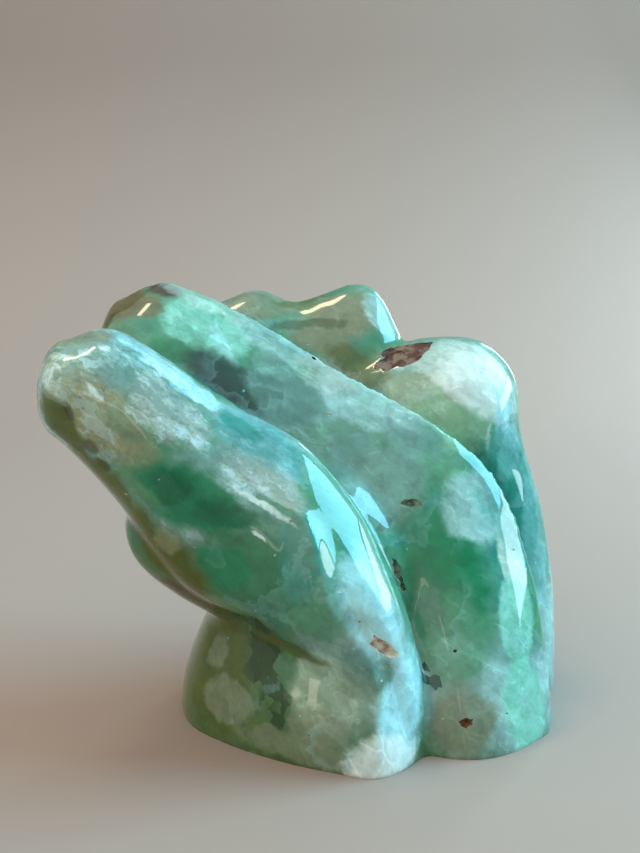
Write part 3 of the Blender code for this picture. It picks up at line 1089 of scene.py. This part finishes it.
    def veil_group(self) -> bpy.types.NodeTree:
        """Build the group that lays a curved veil in the stone: sharp on one side and fading on the other.

        Returns:
            The node group.
        """
        takes = {"Colour": "Color", "Tint": "Color", "Place": "Vector", "Shift": "Vector"}
        takes |= dict.fromkeys(("Size", "Breadth", "Strength"), "Float")
        graph = Graph.group("healed_veil", "ShaderNodeTree", takes, {"Colour": "Color"})
        taken = graph.taken
        place = graph.vector("ADD", taken["Place"], taken["Shift"])
        place = graph.vector("DIVIDE", place, taken["Size"])
        height = graph.sum("SUBTRACT", graph.clouds(place, self.veil_sheet).outputs[0], 0.5)
        sharp = graph.step(height, 0.0, self.veil_edge)
        fade = graph.sum("SUBTRACT", 1.0, graph.step(height, 0.0, taken["Breadth"]))
        patches = graph.clouds(place, self.veil_patches).outputs["Color"]
        here = graph.step(graph.vector("DOT_PRODUCT", patches, (0, 1, 0)), *self.veil_from)
        share = graph.product(sharp, fade, here, taken["Strength"])
        graph.feed(graph.given["Colour"], graph.blend(share, taken["Colour"], taken["Tint"]))
        return graph.tree

    def fleck_group(self) -> bpy.types.NodeTree:
        """Build the group that strews small flecks through the stone.

        Returns:
            The node group.
        """
        takes = {"Colour": "Color", "Tint": "Color", "Place": "Vector"}
        takes |= dict.fromkeys(("Size", "Radius", "Share", "Strength"), "Float")
        graph = Graph.group("inner_flecks", "ShaderNodeTree", takes, {"Colour": "Color"})
        taken = graph.taken
        place = graph.vector("DIVIDE", taken["Place"], taken["Size"])
        cells = graph.node("ShaderNodeTexVoronoi", {"Vector": place, "Scale": 1.0})
        dot = graph.sum("SUBTRACT", 1.0, graph.step(cells.outputs["Distance"], 0.0, taken["Radius"]))
        pick = graph.vector("DOT_PRODUCT", cells.outputs["Color"], (1, 0, 0))
        share = graph.product(dot, graph.sum("LESS_THAN", pick, taken["Share"]), taken["Strength"])
        graph.feed(graph.given["Colour"], graph.blend(share, taken["Colour"], taken["Tint"]))
        return graph.tree

    def ground_colour(self, graph: Graph, places: bpy.types.Node) -> bpy.types.NodeSocket:
        """Give the stone's colour where no zone lies: greens that drift into olive low on the left.

        Args:
            graph: The material's tree.
            places: The node with the shared coordinates.

        Returns:
            The colour.
        """
        drift = graph.clouds(places.outputs["Soft"], self.drift).outputs[0]
        ramp = graph.node("ShaderNodeValToRGB", {0: drift})
        elements = ramp.color_ramp.elements
        while len(elements) < len(self.drift_stops):
            elements.new(0.5)
        for element, (position, tint) in zip(elements, self.drift_stops):
            element.position = position
            element.color = tint.colour
        # Painted reflection: olive low on the left stands for a brown table reflected up into the stone.
        low = graph.vector("DOT_PRODUCT", places.outputs["Soft"], self.table_reflection_side)
        olive = graph.product(graph.step(low, *self.table_reflection_from), self.table_reflection_share)
        return graph.blend(olive, ramp.outputs[0], Tint.OLIVE.colour)

    def lay_zones(
        self, graph: Graph, places: bpy.types.Node, colour: Feed, finder: Finder
    ) -> bpy.types.NodeSocket:
        """Lay every colour zone over the ground colour, in order.

        After each batch the coordinates take on a little of the colour, so that the renderer works one batch
        out before the next and doesn't run out of room for the shader.

        Args:
            graph: The material's tree.
            places: The node with the shared coordinates.
            colour: The ground colour.
            finder: What finds each zone's place on the stone.

        Returns:
            The colour with the zones.
        """
        groups = {cleft: self.zone_group(cleft) for cleft in (False, True)}
        follows = {place: places.outputs[place.value] for place in Place}
        for index, zone in enumerate(ZONES):
            if index and index % self.zones_laid_together == 0:
                shift = graph.scaled(colour, self.colour_shift)
                follows = {place: graph.vector("ADD", at, shift) for place, at in follows.items()}
            spot = finder.spot(zone.at, zone.seen)
            wide, high = (length * spot.pixel for length in zone.size)
            deep = max(wide, high) * self.zone_depth
            rim = zone.edge.value
            turned = spot.axes @ Matrix.Rotation(math.radians(zone.turn), 3, "Z")
            feeds = {"Colour": colour, "Place": follows[rim.place], "Cloud": places.outputs["Cloud"]}
            feeds |= {"Middle": spot.place, "Turn": turned.to_euler(), "Reach": (wide, high, deep)}
            feeds |= {"Tint": zone.tint.colour, "Strength": zone.strength, "Raggedness": rim.raggedness}
            feeds |= {"Outside": -rim.softness, "Inside": rim.softness}
            colour = graph.laid(groups[rim.cleft], feeds, zone.name)
        return colour

    def wisps(self, graph: Graph, places: bpy.types.Node, colour: Feed) -> bpy.types.NodeSocket:
        """Lay white wisps and darker gaps where the stone is pale, most of all on the front flame.

        Args:
            graph: The material's tree.
            places: The node with the shared coordinates.
            colour: The colour so far.

        Returns:
            The colour with wisps.
        """
        pale = graph.step(graph.vector("DOT_PRODUCT", colour, self.brightness), *self.wisp_from)
        rise = graph.vector("DOT_PRODUCT", places.outputs["Soft"], self.wisp_side)
        rise = graph.step(rise, *self.wisp_rise)
        rise = graph.sum("MULTIPLY_ADD", rise, 1 - self.wisp_least, self.wisp_least)
        pale = graph.product(pale, rise)
        wisp = graph.sum("MULTIPLY_ADD", places.outputs["Facet"], self.facet_share, places.outputs["Wisp"])
        net = graph.step(graph.sum("ABSOLUTE", places.outputs["Mottle"]), self.net_width, 0.0)
        net = graph.product(net, self.net_share)
        light = graph.sum("MAXIMUM", graph.step(wisp, *self.wisp_light), net)
        light = graph.product(light, pale, self.wisp_share)
        gap = graph.product(graph.step(wisp, *self.wisp_gap), pale, self.gap_share)
        colour = graph.blend(gap, colour, graph.vector("MULTIPLY", colour, self.gap_dims))
        return graph.blend(light, colour, (*self.wisp_tint, 1.0))

    def lay_veils(self, graph: Graph, places: bpy.types.Node, colour: Feed) -> bpy.types.NodeSocket:
        """Lay healed veils and flecks over the zones.

        Args:
            graph: The material's tree.
            places: The node with the shared coordinates.
            colour: The colour so far.

        Returns:
            The colour with veils and flecks.
        """
        group = self.veil_group()
        for veil in self.veils:
            feeds = {"Colour": colour, "Place": places.outputs["Fine"], "Shift": veil.shift}
            feeds |= {"Size": veil.size, "Breadth": veil.breadth}
            feeds |= {"Tint": veil.tint.colour, "Strength": veil.strength}
            colour = graph.laid(group, feeds)
        group = self.fleck_group()
        for flecks in self.flecks:
            feeds = {"Colour": colour, "Place": places.outputs["Fine"], "Size": flecks.size}
            feeds |= {"Radius": flecks.radius, "Share": flecks.share}
            feeds |= {"Tint": flecks.tint.colour, "Strength": flecks.strength}
            colour = graph.laid(group, feeds)
        return colour

    def brightening(self, graph: Graph, places: bpy.types.Node) -> bpy.types.NodeSocket:
        """Give how much lighter or darker each place is, by its clouds, mottles, facets and faint cracks.

        Args:
            graph: The material's tree.
            places: The node with the shared coordinates.

        Returns:
            The factor for the colour.
        """
        here = graph.step(places.outputs["Wisp"], *self.crack_from)
        crack = graph.product(places.outputs["Crack"], here)
        factor = 1 - self.facet_lift / 2
        for feed, lift in (
            (places.outputs["Facet"], self.facet_lift),
            (crack, self.crack_lift),
            (places.outputs["Cloud"], self.cloud_lift),
            (places.outputs["Mottle"], self.mottle_lift),
        ):
            factor = graph.sum("MULTIPLY_ADD", feed, lift, factor)
        return factor

    def material(self, finder: Finder) -> bpy.types.Material:
        """Make the polished material.

        Args:
            finder: What finds each zone's place on the stone.

        Returns:
            The material.
        """
        material = bpy.data.materials.new("polished_fluorite")
        material.use_nodes = True
        graph = Graph(material.node_tree)
        surface = material.node_tree.nodes["Principled BSDF"]
        place = graph.node("ShaderNodeTexCoord").outputs["Object"]
        places = graph.node("ShaderNodeGroup", node_tree=self.places_group())
        graph.feed(places.inputs["Place"], place)
        colour = self.ground_colour(graph, places)
        colour = self.lay_zones(graph, places, colour, finder)
        colour = self.wisps(graph, places, colour)
        colour = self.lay_veils(graph, places, colour)
        colour = graph.scaled(colour, self.brightening(graph, places))
        graph.feed(surface.inputs["Base Color"], colour)
        surface.inputs["Roughness"].default_value = self.roughness
        surface.inputs["IOR"].default_value = self.index
        surface.inputs["Specular IOR Level"].default_value = self.under_gloss
        surface.inputs["Coat Weight"].default_value = self.coat
        surface.inputs["Coat Roughness"].default_value = self.coat_roughness
        surface.inputs["Subsurface Weight"].default_value = self.glow
        surface.inputs["Subsurface Radius"].default_value = self.glow_reach
        surface.inputs["Subsurface Scale"].default_value = self.glow_depth * MM
        return material


@dataclass(frozen=True)
class RoughFinish:
    """An unpolished break or natural skin: mottled, matt and gritty."""

    name: str
    light: tuple[float, float, float]
    dark: tuple[float, float, float]
    grain: float
    roughness: float = 0.6
    relief: float = 0.15
    detail: float = 5.0
    rough: float = 0.6
    dark_from: Span = (0.42, 0.6)

    def material(self) -> bpy.types.Material:
        """Make the material.

        Returns:
            The material.
        """
        material = bpy.data.materials.new(self.name)
        material.use_nodes = True
        graph = Graph(material.node_tree)
        surface = material.node_tree.nodes["Principled BSDF"]
        place = graph.scaled(graph.node("ShaderNodeTexCoord").outputs["Object"], 1 / MM)
        mottle = graph.clouds(place, Clouds(self.grain, self.detail, self.rough)).outputs[0]
        share = graph.step(mottle, *self.dark_from)
        graph.feed(surface.inputs["Base Color"], graph.blend(share, (*self.light, 1.0), (*self.dark, 1.0)))
        surface.inputs["Roughness"].default_value = self.roughness
        bump = graph.node("ShaderNodeBump", {"Height": mottle, "Distance": self.relief * MM})
        graph.feed(surface.inputs["Normal"], bump.outputs[0])
        return material


NATURAL_SKIN = RoughFinish("natural_skin", (0.21, 0.15, 0.11), (0.075, 0.028, 0.020), 1.8)
FRESH_BREAK = RoughFinish("fresh_break", (0.42, 0.50, 0.42), (0.16, 0.24, 0.19), 1.2, 0.45)
DARK_CHIP = RoughFinish("dark_chip", (0.20, 0.30, 0.21), (0.05, 0.09, 0.06), 1.2, 0.45)
WEATHERED_PIT = RoughFinish("weathered_pit", (0.66, 0.66, 0.56), (0.34, 0.25, 0.18), 1.6)
RUST = RoughFinish("rust_spot", (0.16, 0.07, 0.02), (0.02, 0.01, 0.006), 0.8)
GROUND_BASE = RoughFinish("ground_base", (0.30, 0.42, 0.34), (0.20, 0.32, 0.25), 3.0, 0.5, 0.05)


# Marks in the surface


@dataclass(frozen=True)
class Flaw:
    """A pit, chip or scar: a lumpy hollow cut into the surface at a pixel of the photograph."""

    name: str
    at: Pixel
    size: Pixel
    turn: float
    depth: float
    finish: RoughFinish
    lumps: float = 0.25


FLAWS = (
    Flaw("natural_scar", (404, 354), (33, 17), 22, 1.0, NATURAL_SKIN, 0.3),
    Flaw("crest_chip", (398, 571), (4.5, 13), 20, 0.9, DARK_CHIP, 0.4),
    Flaw("crest_chip_low", (403, 587), (3, 5), 20, 0.6, DARK_CHIP, 0.4),
    Flaw("pit_scar", (386, 649), (20, 6), -38, 0.8, WEATHERED_PIT, 0.4),
    Flaw("half_round_pit", (411, 503), (11, 4), 0, 0.9, DARK_CHIP, 0.25),
    Flaw("crest_pinhole", (314, 358), (2.5, 1.8), -25, 0.5, RUST, 0.2),
    Flaw("rust_spot", (466, 723), (6, 4.5), 10, 0.6, RUST, 0.35),
    Flaw("dark_dot", (455, 651), (1.8, 1.5), 0, 0.4, RUST, 0.2),
)


@dataclass(frozen=True)
class FlawCutter:
    """Cuts the named flaws, each a ball with lumps from a layered noise, into the stone."""

    finder: Finder
    subdivisions: int = 4
    lump_scale: float = 2.2
    lump_fade: float = 1.0
    lump_step: float = 2.0
    lump_layers: int = 3

    def hollow(self, flaw: Flaw) -> bpy.types.Object:
        """Make the lumpy ball that one flaw's hollow is cut with.

        Args:
            flaw: The flaw.

        Returns:
            The ball.
        """
        spot = self.finder.spot(flaw.at, Seen.IN_PHOTO)
        wide, high = (length * spot.pixel for length in flaw.size)
        out = spot.normal
        right = (spot.axes.col[0] - out * out.dot(spot.axes.col[0])).normalized()
        axes = Matrix((right, out.cross(right), out)).transposed()
        axes = axes @ Matrix.Rotation(math.radians(flaw.turn), 3, "Z")
        body = bmesh.new()
        bmesh.ops.create_icosphere(body, subdivisions=self.subdivisions, radius=1)
        for vertex in body.verts:
            at = vertex.co * self.lump_scale + spot.place
            lump = noise.fractal(at, self.lump_fade, self.lump_step, self.lump_layers)
            swell = 1 + flaw.lumps * lump
            shape = Vector((vertex.co.x * wide, vertex.co.y * high, vertex.co.z * flaw.depth)) * swell
            vertex.co = (spot.place + axes @ shape) * MM
        return mesh_object(flaw.name, body)

    def cut(self, stone: bpy.types.Object) -> None:
        """Cut every flaw, each with its own finish inside.

        Args:
            stone: The stone.
        """
        finishes = {flaw.finish: flaw.finish.material() for flaw in FLAWS}
        for flaw in FLAWS:
            ball = self.hollow(flaw)
            ball.data.materials.append(finishes[flaw.finish])
            cut_away(stone, ball)
            LOG.info("cut the %s", flaw.name)


def cut_away(stone: bpy.types.Object, cutter: bpy.types.Object) -> None:
    """Cut a closed cutter out of the stone, leave its material in the cut and remove it.

    Args:
        stone: The stone.
        cutter: The cutter.
    """
    cut = stone.modifiers.new("cut", "BOOLEAN")
    cut.operation = "DIFFERENCE"
    cut.object = cutter
    cut.material_mode = "TRANSFER"
    settle(stone)
    bpy.data.objects.remove(cutter)


@dataclass(frozen=True)
class PolishWaves:
    """The shallow waves that polishing by hand leaves, made by geometry nodes."""

    length: float = 7.0
    depth: float = 0.10
    hold: float = 3.0
    detail: float = 1.0
    rough: float = 0.35
    seed: float = 3.0

    def tree(self) -> bpy.types.NodeTree:
        """Build the node tree that waves a surface inwards and holds it near the ground.

        Returns:
            The node tree.
        """
        takes = {"Stone": "Geometry", "Wave length": "Float", "Depth": "Float", "Hold height": "Float"}
        takes |= {"Seed": "Float", "Finish": "Material"}
        graph = Graph.group("polish_waves", "GeometryNodeTree", takes, {"Stone": "Geometry"})
        taken = graph.taken
        place = graph.node("GeometryNodeInputPosition").outputs[0]
        feeds = {"Vector": graph.vector("DIVIDE", place, taken["Wave length"]), "W": taken["Seed"]}
        feeds |= {"Scale": 1.0, "Detail": self.detail, "Roughness": self.rough}
        wave = graph.node("ShaderNodeTexNoise", feeds, noise_dimensions="4D").outputs[0]
        height = graph.node("ShaderNodeSeparateXYZ", {0: place}).outputs["Z"]
        free = graph.step(height, 0.0, taken["Hold height"])
        normal = graph.node("GeometryNodeInputNormal").outputs[0]
        shift = graph.scaled(normal, graph.product(wave, taken["Depth"], -1.0, free))
        waved = graph.node("GeometryNodeSetPosition", {"Geometry": taken["Stone"], "Offset": shift})
        whole = graph.node("GeometryNodeRealizeInstances", {0: waved.outputs[0]})
        feeds = {"Geometry": whole.outputs[0], "Material": taken["Finish"]}
        graph.feed(graph.given["Stone"], graph.node("GeometryNodeSetMaterial", feeds).outputs[0])
        return graph.tree

    def apply(self, stone: bpy.types.Object, finish: bpy.types.Material) -> None:
        """Wave the stone's surface.

        Args:
            stone: The stone.
            finish: The material that its surface is given.
        """
        values = {"Wave length": self.length * MM, "Depth": self.depth * MM, "Hold height": self.hold * MM}
        values |= {"Seed": self.seed, "Finish": finish}
        grow(stone, self.tree(), values)


@dataclass(frozen=True)
class PitScatter:
    """Small open pits strewn over the polished skin, made by geometry nodes."""

    spacing: float = 7.0
    density: float = 0.004
    radius: float = 0.22
    smallest: Point = (0.6, 0.6, 0.5)
    largest: Point = (1.8, 1.2, 0.9)
    subdivisions: int = 3
    clear_height: float = 4.0
    seed: int = 11

    def cutter(self, stone: bpy.types.Object, finish: bpy.types.Material) -> bpy.types.Object:
        """Strew the balls that the pits are cut with.

        Args:
            stone: The stone that the pits are strewn over.
            finish: The material inside the pits.

        Returns:
            The balls as one object.
        """
        takes = {"Stone": "Geometry", "Spacing": "Float", "Density": "Float", "Radius": "Float"}
        takes |= {"Clear height": "Float", "Seed": "Int", "Finish": "Material"}
        graph = Graph.group("pit_scatter", "GeometryNodeTree", takes, {"Pits": "Geometry"})
        taken = graph.taken
        place = graph.node("GeometryNodeInputPosition").outputs[0]
        height = graph.node("ShaderNodeSeparateXYZ", {0: place}).outputs["Z"]
        clear = graph.node("FunctionNodeCompare", {0: height, 1: taken["Clear height"]})
        feeds = {"Mesh": taken["Stone"], "Selection": clear.outputs[0], "Distance Min": taken["Spacing"]}
        feeds |= {"Density Max": taken["Density"], "Seed": taken["Seed"]}
        strewn = graph.node("GeometryNodeDistributePointsOnFaces", feeds, distribute_method="POISSON")
        feeds = {"Radius": taken["Radius"], "Subdivisions": self.subdivisions}
        ball = graph.node("GeometryNodeMeshIcoSphere", feeds)
        feeds = {"Min": self.smallest, "Max": self.largest, "Seed": taken["Seed"]}
        sizes = graph.node("FunctionNodeRandomValue", feeds, data_type="FLOAT_VECTOR")
        feeds = {"Points": strewn.outputs["Points"], "Instance": ball.outputs["Mesh"]}
        feeds |= {"Rotation": strewn.outputs["Rotation"], "Scale": sizes.outputs[0]}
        placed = graph.node("GeometryNodeInstanceOnPoints", feeds)
        whole = graph.node("GeometryNodeRealizeInstances", {0: placed.outputs[0]})
        feeds = {"Geometry": whole.outputs[0], "Material": taken["Finish"]}
        graph.feed(graph.given["Pits"], graph.node("GeometryNodeSetMaterial", feeds).outputs[0])
        cutter = bpy.data.objects.new("pit_cutter", stone.data.copy())
        bpy.context.scene.collection.objects.link(cutter)
        values = {"Spacing": self.spacing * MM, "Density": self.density / MM**2, "Radius": self.radius * MM}
        values |= {"Clear height": self.clear_height * MM, "Seed": self.seed, "Finish": finish}
        grow(cutter, graph.tree, values)
        return cutter


def grow(obj: bpy.types.Object, tree: bpy.types.NodeTree, values: dict[str, object]) -> None:
    """Run a geometry node tree on an object and keep its result as the object's mesh.

    Args:
        obj: The object.
        tree: The node tree.
        values: The value of each input by its name.
    """
    nodes = obj.modifiers.new(tree.name, "NODES")
    nodes.node_group = tree
    for item in tree.interface.items_tree:
        if item.item_type == "SOCKET" and item.in_out == "INPUT" and item.name in values:
            nodes[item.identifier] = values[item.name]
    settle(obj)


@dataclass(frozen=True)
class Stone:
    """The fluorite freeform: its ridges and foot, how finely they are fused and how they are polished."""

    ridges: tuple[Ridge, ...] = (FRONT_FLAME, FRONT_SPINE, MIDDLE_FLAME, RIGHT_FLAME, BACK_FLAME, BELLY)
    foot: Foot = field(default_factory=Foot)
    grain: float = 0.62
    ring_points: int = 40
    rings_per_span: int = 6
    cap_rings: int = 6
    polish_passes: int = 11
    polish_strength: float = 0.5
    block: float = 300.0
    grind_depth: float = 1.2
    rim_height: float = 4.5
    rim_passes: int = 40
    crease: float = 34.0
    finish: FluoriteFinish = field(default_factory=FluoriteFinish)
    waves: PolishWaves = field(default_factory=PolishWaves)
    pits: PitScatter = field(default_factory=PitScatter)

    def cap(self, ring: list[Vector], outward: Vector, length: float) -> tuple[list[list[Vector]], Vector]:
        """Close a loft's end over a round cap.

        Args:
            ring: The loft's last ring.
            outward: The direction out of the loft.
            length: The cap's length.

        Returns:
            The cap's rings and its tip.
        """
        middle = sum(ring, Vector()) / len(ring)
        rings = []
        for index in range(1, self.cap_rings):
            turn = math.pi / 2 * index / self.cap_rings
            shift = outward * length * math.sin(turn)
            rings.append([mixed(middle, point, math.cos(turn)) + shift for point in ring])
        return rings, middle + outward * length

    def bridge(self, body: bmesh.types.BMesh, loops: list[list]) -> list[bmesh.types.BMFace]:
        """Join each loop of points to the next with faces.

        Args:
            body: The bmesh that holds the points.
            loops: The loops in order.

        Returns:
            The faces.
        """
        faces = []
        for low, high in zip(loops, loops[1:]):
            for index in range(len(low)):
                after = (index + 1) % len(low)
                faces.append(body.faces.new((low[index], low[after], high[after], high[index])))
        return faces

    def add_ridge(self, body: bmesh.types.BMesh, ridge: Ridge) -> None:
        """Loft one ridge as a closed shell.

        Args:
            body: The bmesh that it is added to.
            ridge: The ridge.
        """
        count = (len(ridge.sections) - 1) * self.rings_per_span
        found = [ridge.ring(index / self.rings_per_span, self.ring_points) for index in range(count + 1)]
        rings = [ring for ring, _ in found]
        first_rings, first_tip = self.cap(rings[0], -found[0][1], ridge.first_cap)
        last_rings, last_tip = self.cap(rings[-1], found[-1][1], ridge.last_cap)
        rings = first_rings[::-1] + rings + last_rings
        loops = [[body.verts.new(point * MM) for point in ring] for ring in rings]
        faces = self.bridge(body, loops)
        for loop, tip in ((loops[0], first_tip), (loops[-1], last_tip)):
            apex = body.verts.new(tip * MM)
            for index in range(len(loop)):
                faces.append(body.faces.new((loop[index], loop[(index + 1) % len(loop)], apex)))
        bmesh.ops.recalc_face_normals(body, faces=faces)

    def add_foot(self, body: bmesh.types.BMesh) -> None:
        """Stack the foot's outlines as a closed shell.

        Args:
            body: The bmesh that it is added to.
        """
        loops = []
        for level in self.foot.levels:
            outline = self.foot.loop(level, self.ring_points * 2)
            loops.append([body.verts.new(point * MM) for point in outline])
        faces = self.bridge(body, loops)
        faces += [body.faces.new(loops[0]), body.faces.new(loops[-1])]
        bmesh.ops.recalc_face_normals(body, faces=faces)

    def fuse(self, stone: bpy.types.Object) -> None:
        """Turn overlapping or cut shapes into one body of even small faces.

        Args:
            stone: The stone.
        """
        fused = stone.modifiers.new("fuse", "REMESH")
        fused.mode = "VOXEL"
        fused.voxel_size = self.grain * MM
        fused.use_smooth_shade = True
        settle(stone)

    def grind(self, stone: bpy.types.Object, top: float, finish: RoughFinish) -> None:
        """Grind the stone flat underneath.

        Args:
            stone: The stone.
            top: The height to which it is ground away.
            finish: The finish of the ground face.
        """
        body = bmesh.new()
        bmesh.ops.create_cube(body, size=self.block * MM)
        bmesh.ops.translate(body, verts=body.verts, vec=(0, 0, (top - self.block / 2) * MM))
        block = mesh_object("grinding_block", body)
        block.data.materials.append(finish.material())
        cut_away(stone, block)

    def centre(self, stone: bpy.types.Object) -> None:
        """Shift the mesh until the middle of its box is over the origin.

        Args:
            stone: The stone.
        """
        across = [vertex.co.x for vertex in stone.data.vertices]
        along = [vertex.co.y for vertex in stone.data.vertices]
        shift = Vector((-(min(across) + max(across)) / 2, -(min(along) + max(along)) / 2, 0))
        stone.data.transform(Matrix.Translation(shift))

    def polish(self, stone: bpy.types.Object) -> None:
        """Soften every crest, groove and edge, and most of all the rim that the stone stands on.

        Args:
            stone: The stone.
        """
        rim = stone.vertex_groups.new(name="rim")
        for vertex in stone.data.vertices:
            height = vertex.co.z / MM + self.grind_depth
            if height < self.rim_height:
                rim.add([vertex.index], 1 - height / self.rim_height, "REPLACE")
        for group, passes in (("", self.polish_passes), ("rim", self.rim_passes)):
            soften = stone.modifiers.new("soften", "SMOOTH")
            soften.factor = self.polish_strength
            soften.iterations = passes
            soften.vertex_group = group
        settle(stone)
        stone.vertex_groups.clear()

    def shape(self) -> bpy.types.Object:
        """Loft, fuse, grind and polish the stone.

        Returns:
            The stone, standing a little below the ground.
        """
        body = bmesh.new()
        for ridge in self.ridges:
            self.add_ridge(body, ridge)
        self.add_foot(body)
        stone = mesh_object(PIECE, body)
        self.fuse(stone)
        self.grind(stone, -self.grind_depth, GROUND_BASE)
        self.fuse(stone)
        self.centre(stone)
        self.polish(stone)
        LOG.info("shaped the stone with %d faces", len(stone.data.polygons))
        return stone

    def build(self, eye: PhotoEye) -> bpy.types.Object:
        """Make the finished stone, standing on the ground.

        Args:
            eye: The camera of the photograph.

        Returns:
            The stone.
        """
        stone = self.shape()
        finder = Finder(stone, eye)
        stone.data.materials.clear()
        self.waves.apply(stone, self.finish.material(finder))
        pits = self.pits.cutter(stone, FRESH_BREAK.material())
        LOG.info("strewed pits with %d faces", len(pits.data.polygons))
        cut_away(stone, pits)
        FlawCutter(finder).cut(stone)
        self.grind(stone, 0, GROUND_BASE)
        stone.data.shade_smooth()
        stone.data.set_sharp_from_angle(angle=math.radians(self.crease))
        return stone


# Studio


@dataclass(frozen=True)
class StudioLight:
    """A flat light that faces the stone from a bearing, and how large it looks from there."""

    name: str
    azimuth: float
    elevation: float
    wide: float
    high: float
    radiance: float
    colour: tuple[float, float, float]
    distance: float = 900.0

    def hang(self, middle: Vector) -> bpy.types.Object:
        """Hang the light.

        Args:
            middle: The point that it faces, in metres.

        Returns:
            The light object.
        """
        azimuth = math.radians(self.azimuth)
        elevation = math.radians(self.elevation)
        level = math.cos(elevation)
        out = Vector((math.sin(azimuth) * level, -math.cos(azimuth) * level, math.sin(elevation)))
        lamp = bpy.data.lights.new(self.name, "AREA")
        lamp.shape = "RECTANGLE"
        lamp.size = 2 * self.distance * MM * math.tan(math.radians(self.wide / 2))
        lamp.size_y = 2 * self.distance * MM * math.tan(math.radians(self.high / 2))
        lamp.energy = self.radiance * math.pi * lamp.size * lamp.size_y
        lamp.color = self.colour
        obj = bpy.data.objects.new(self.name, lamp)
        obj.location = middle + out * self.distance * MM
        obj.rotation_euler = out.to_track_quat("Z", "Y").to_euler()
        bpy.context.scene.collection.objects.link(obj)
        return obj


@dataclass(frozen=True)
class Studio:
    """A pale seamless sweep, soft light all round and the lights that the polish mirrors."""

    # The sweep
    floor_colour: tuple[float, float, float] = (0.37, 0.29, 0.25)
    half_width: float = 900.0
    front: float = -500.0
    back: float = 420.0
    bend: float = 160.0
    height: float = 700.0
    bend_steps: int = 16
    floor_roughness: float = 0.7

    # The light
    ambient: tuple[float, float, float] = (0.88, 0.83, 0.75)
    brightest: Point = (-0.45, -0.35, 0.82)
    brighter_from: Span = (0.15, 1.0)
    ambient_low: float = 0.16
    ambient_high: float = 1.60
    lights: tuple[StudioLight, ...] = (
        StudioLight("window", 98, 35, 36, 24, 13.0, (0.24, 0.74, 1.0)),
        StudioLight("low_panel", 99, 15.5, 38, 12, 9.5, (0.60, 0.88, 1.0)),
        StudioLight("rim_strip", 146, 17, 7, 34, 9.0, (0.70, 0.90, 1.0), 450),
        StudioLight("gold_lamp", 238, 73.5, 12, 6, 14.0, (1.0, 0.84, 0.55)),
        StudioLight("warm_lamp", -7, 13, 2.5, 9, 1.9, (1.0, 0.94, 0.76)),
        StudioLight("low_lamp", -43, 3, 3, 6, 3.5, (1.0, 0.94, 0.76)),
    )

    def sweep(self) -> bpy.types.Object:
        """Make the floor that bends up into the backdrop.

        Returns:
            The sweep, marked as stage.
        """
        line = [(self.front, 0.0), (self.back - self.bend, 0.0)]
        for index in range(1, self.bend_steps + 1):
            turn = math.pi / 2 * index / self.bend_steps
            reach = self.back - self.bend + self.bend * math.sin(turn)
            line.append((reach, self.bend * (1 - math.cos(turn))))
        line.append((self.back, self.height))
        body = bmesh.new()
        sides = []
        for side in (-self.half_width, self.half_width):
            sides.append([body.verts.new(Vector((side, y, z)) * MM) for y, z in line])
        left, right = sides
        for index in range(len(line) - 1):
            body.faces.new((left[index], right[index], right[index + 1], left[index + 1]))
        sweep = mesh_object("pale_sweep", body)
        sweep.data.shade_smooth()
        paper = bpy.data.materials.new("pale_paper")
        paper.use_nodes = True
        surface = paper.node_tree.nodes["Principled BSDF"]
        surface.inputs["Base Color"].default_value = (*self.floor_colour, 1.0)
        surface.inputs["Roughness"].default_value = self.floor_roughness
        sweep.data.materials.append(paper)
        return sweep

    def light(self) -> None:
        """Set a soft light that is brightest high up at the front left, and hang every light."""
        world = bpy.data.worlds.new("soft_room")
        world.use_nodes = True
        graph = Graph(world.node_tree)
        room = world.node_tree.nodes["Background"]
        bearing = graph.node("ShaderNodeTexCoord").outputs["Generated"]
        near = graph.step(graph.vector("DOT_PRODUCT", bearing, self.brightest), *self.brighter_from)
        rise = self.ambient_high - self.ambient_low
        strength = graph.sum("MULTIPLY_ADD", near, rise, self.ambient_low)
        graph.feed(room.inputs["Strength"], strength)
        room.inputs["Color"].default_value = (*self.ambient, 1.0)
        bpy.context.scene.world = world
        low, high = CAD_BOX
        for lamp in self.lights:
            lamp.hang((low + high) / 2)


def main() -> None:
    """Build the stone and its studio."""
    logging.basicConfig(level=logging.INFO, format="%(name)s: %(message)s")
    bpy.context.scene.view_settings.view_transform = "Standard"
    eye = PhotoEye()
    eye.camera()
    studio = Studio()
    studio.sweep()
    studio.light()
    stone = Stone().build(eye)
    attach(stone, "root")
    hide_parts(NODE)
    LOG.info("%s has %d faces", stone.name, len(stone.data.polygons))


if __name__ == "__main__":
    main()
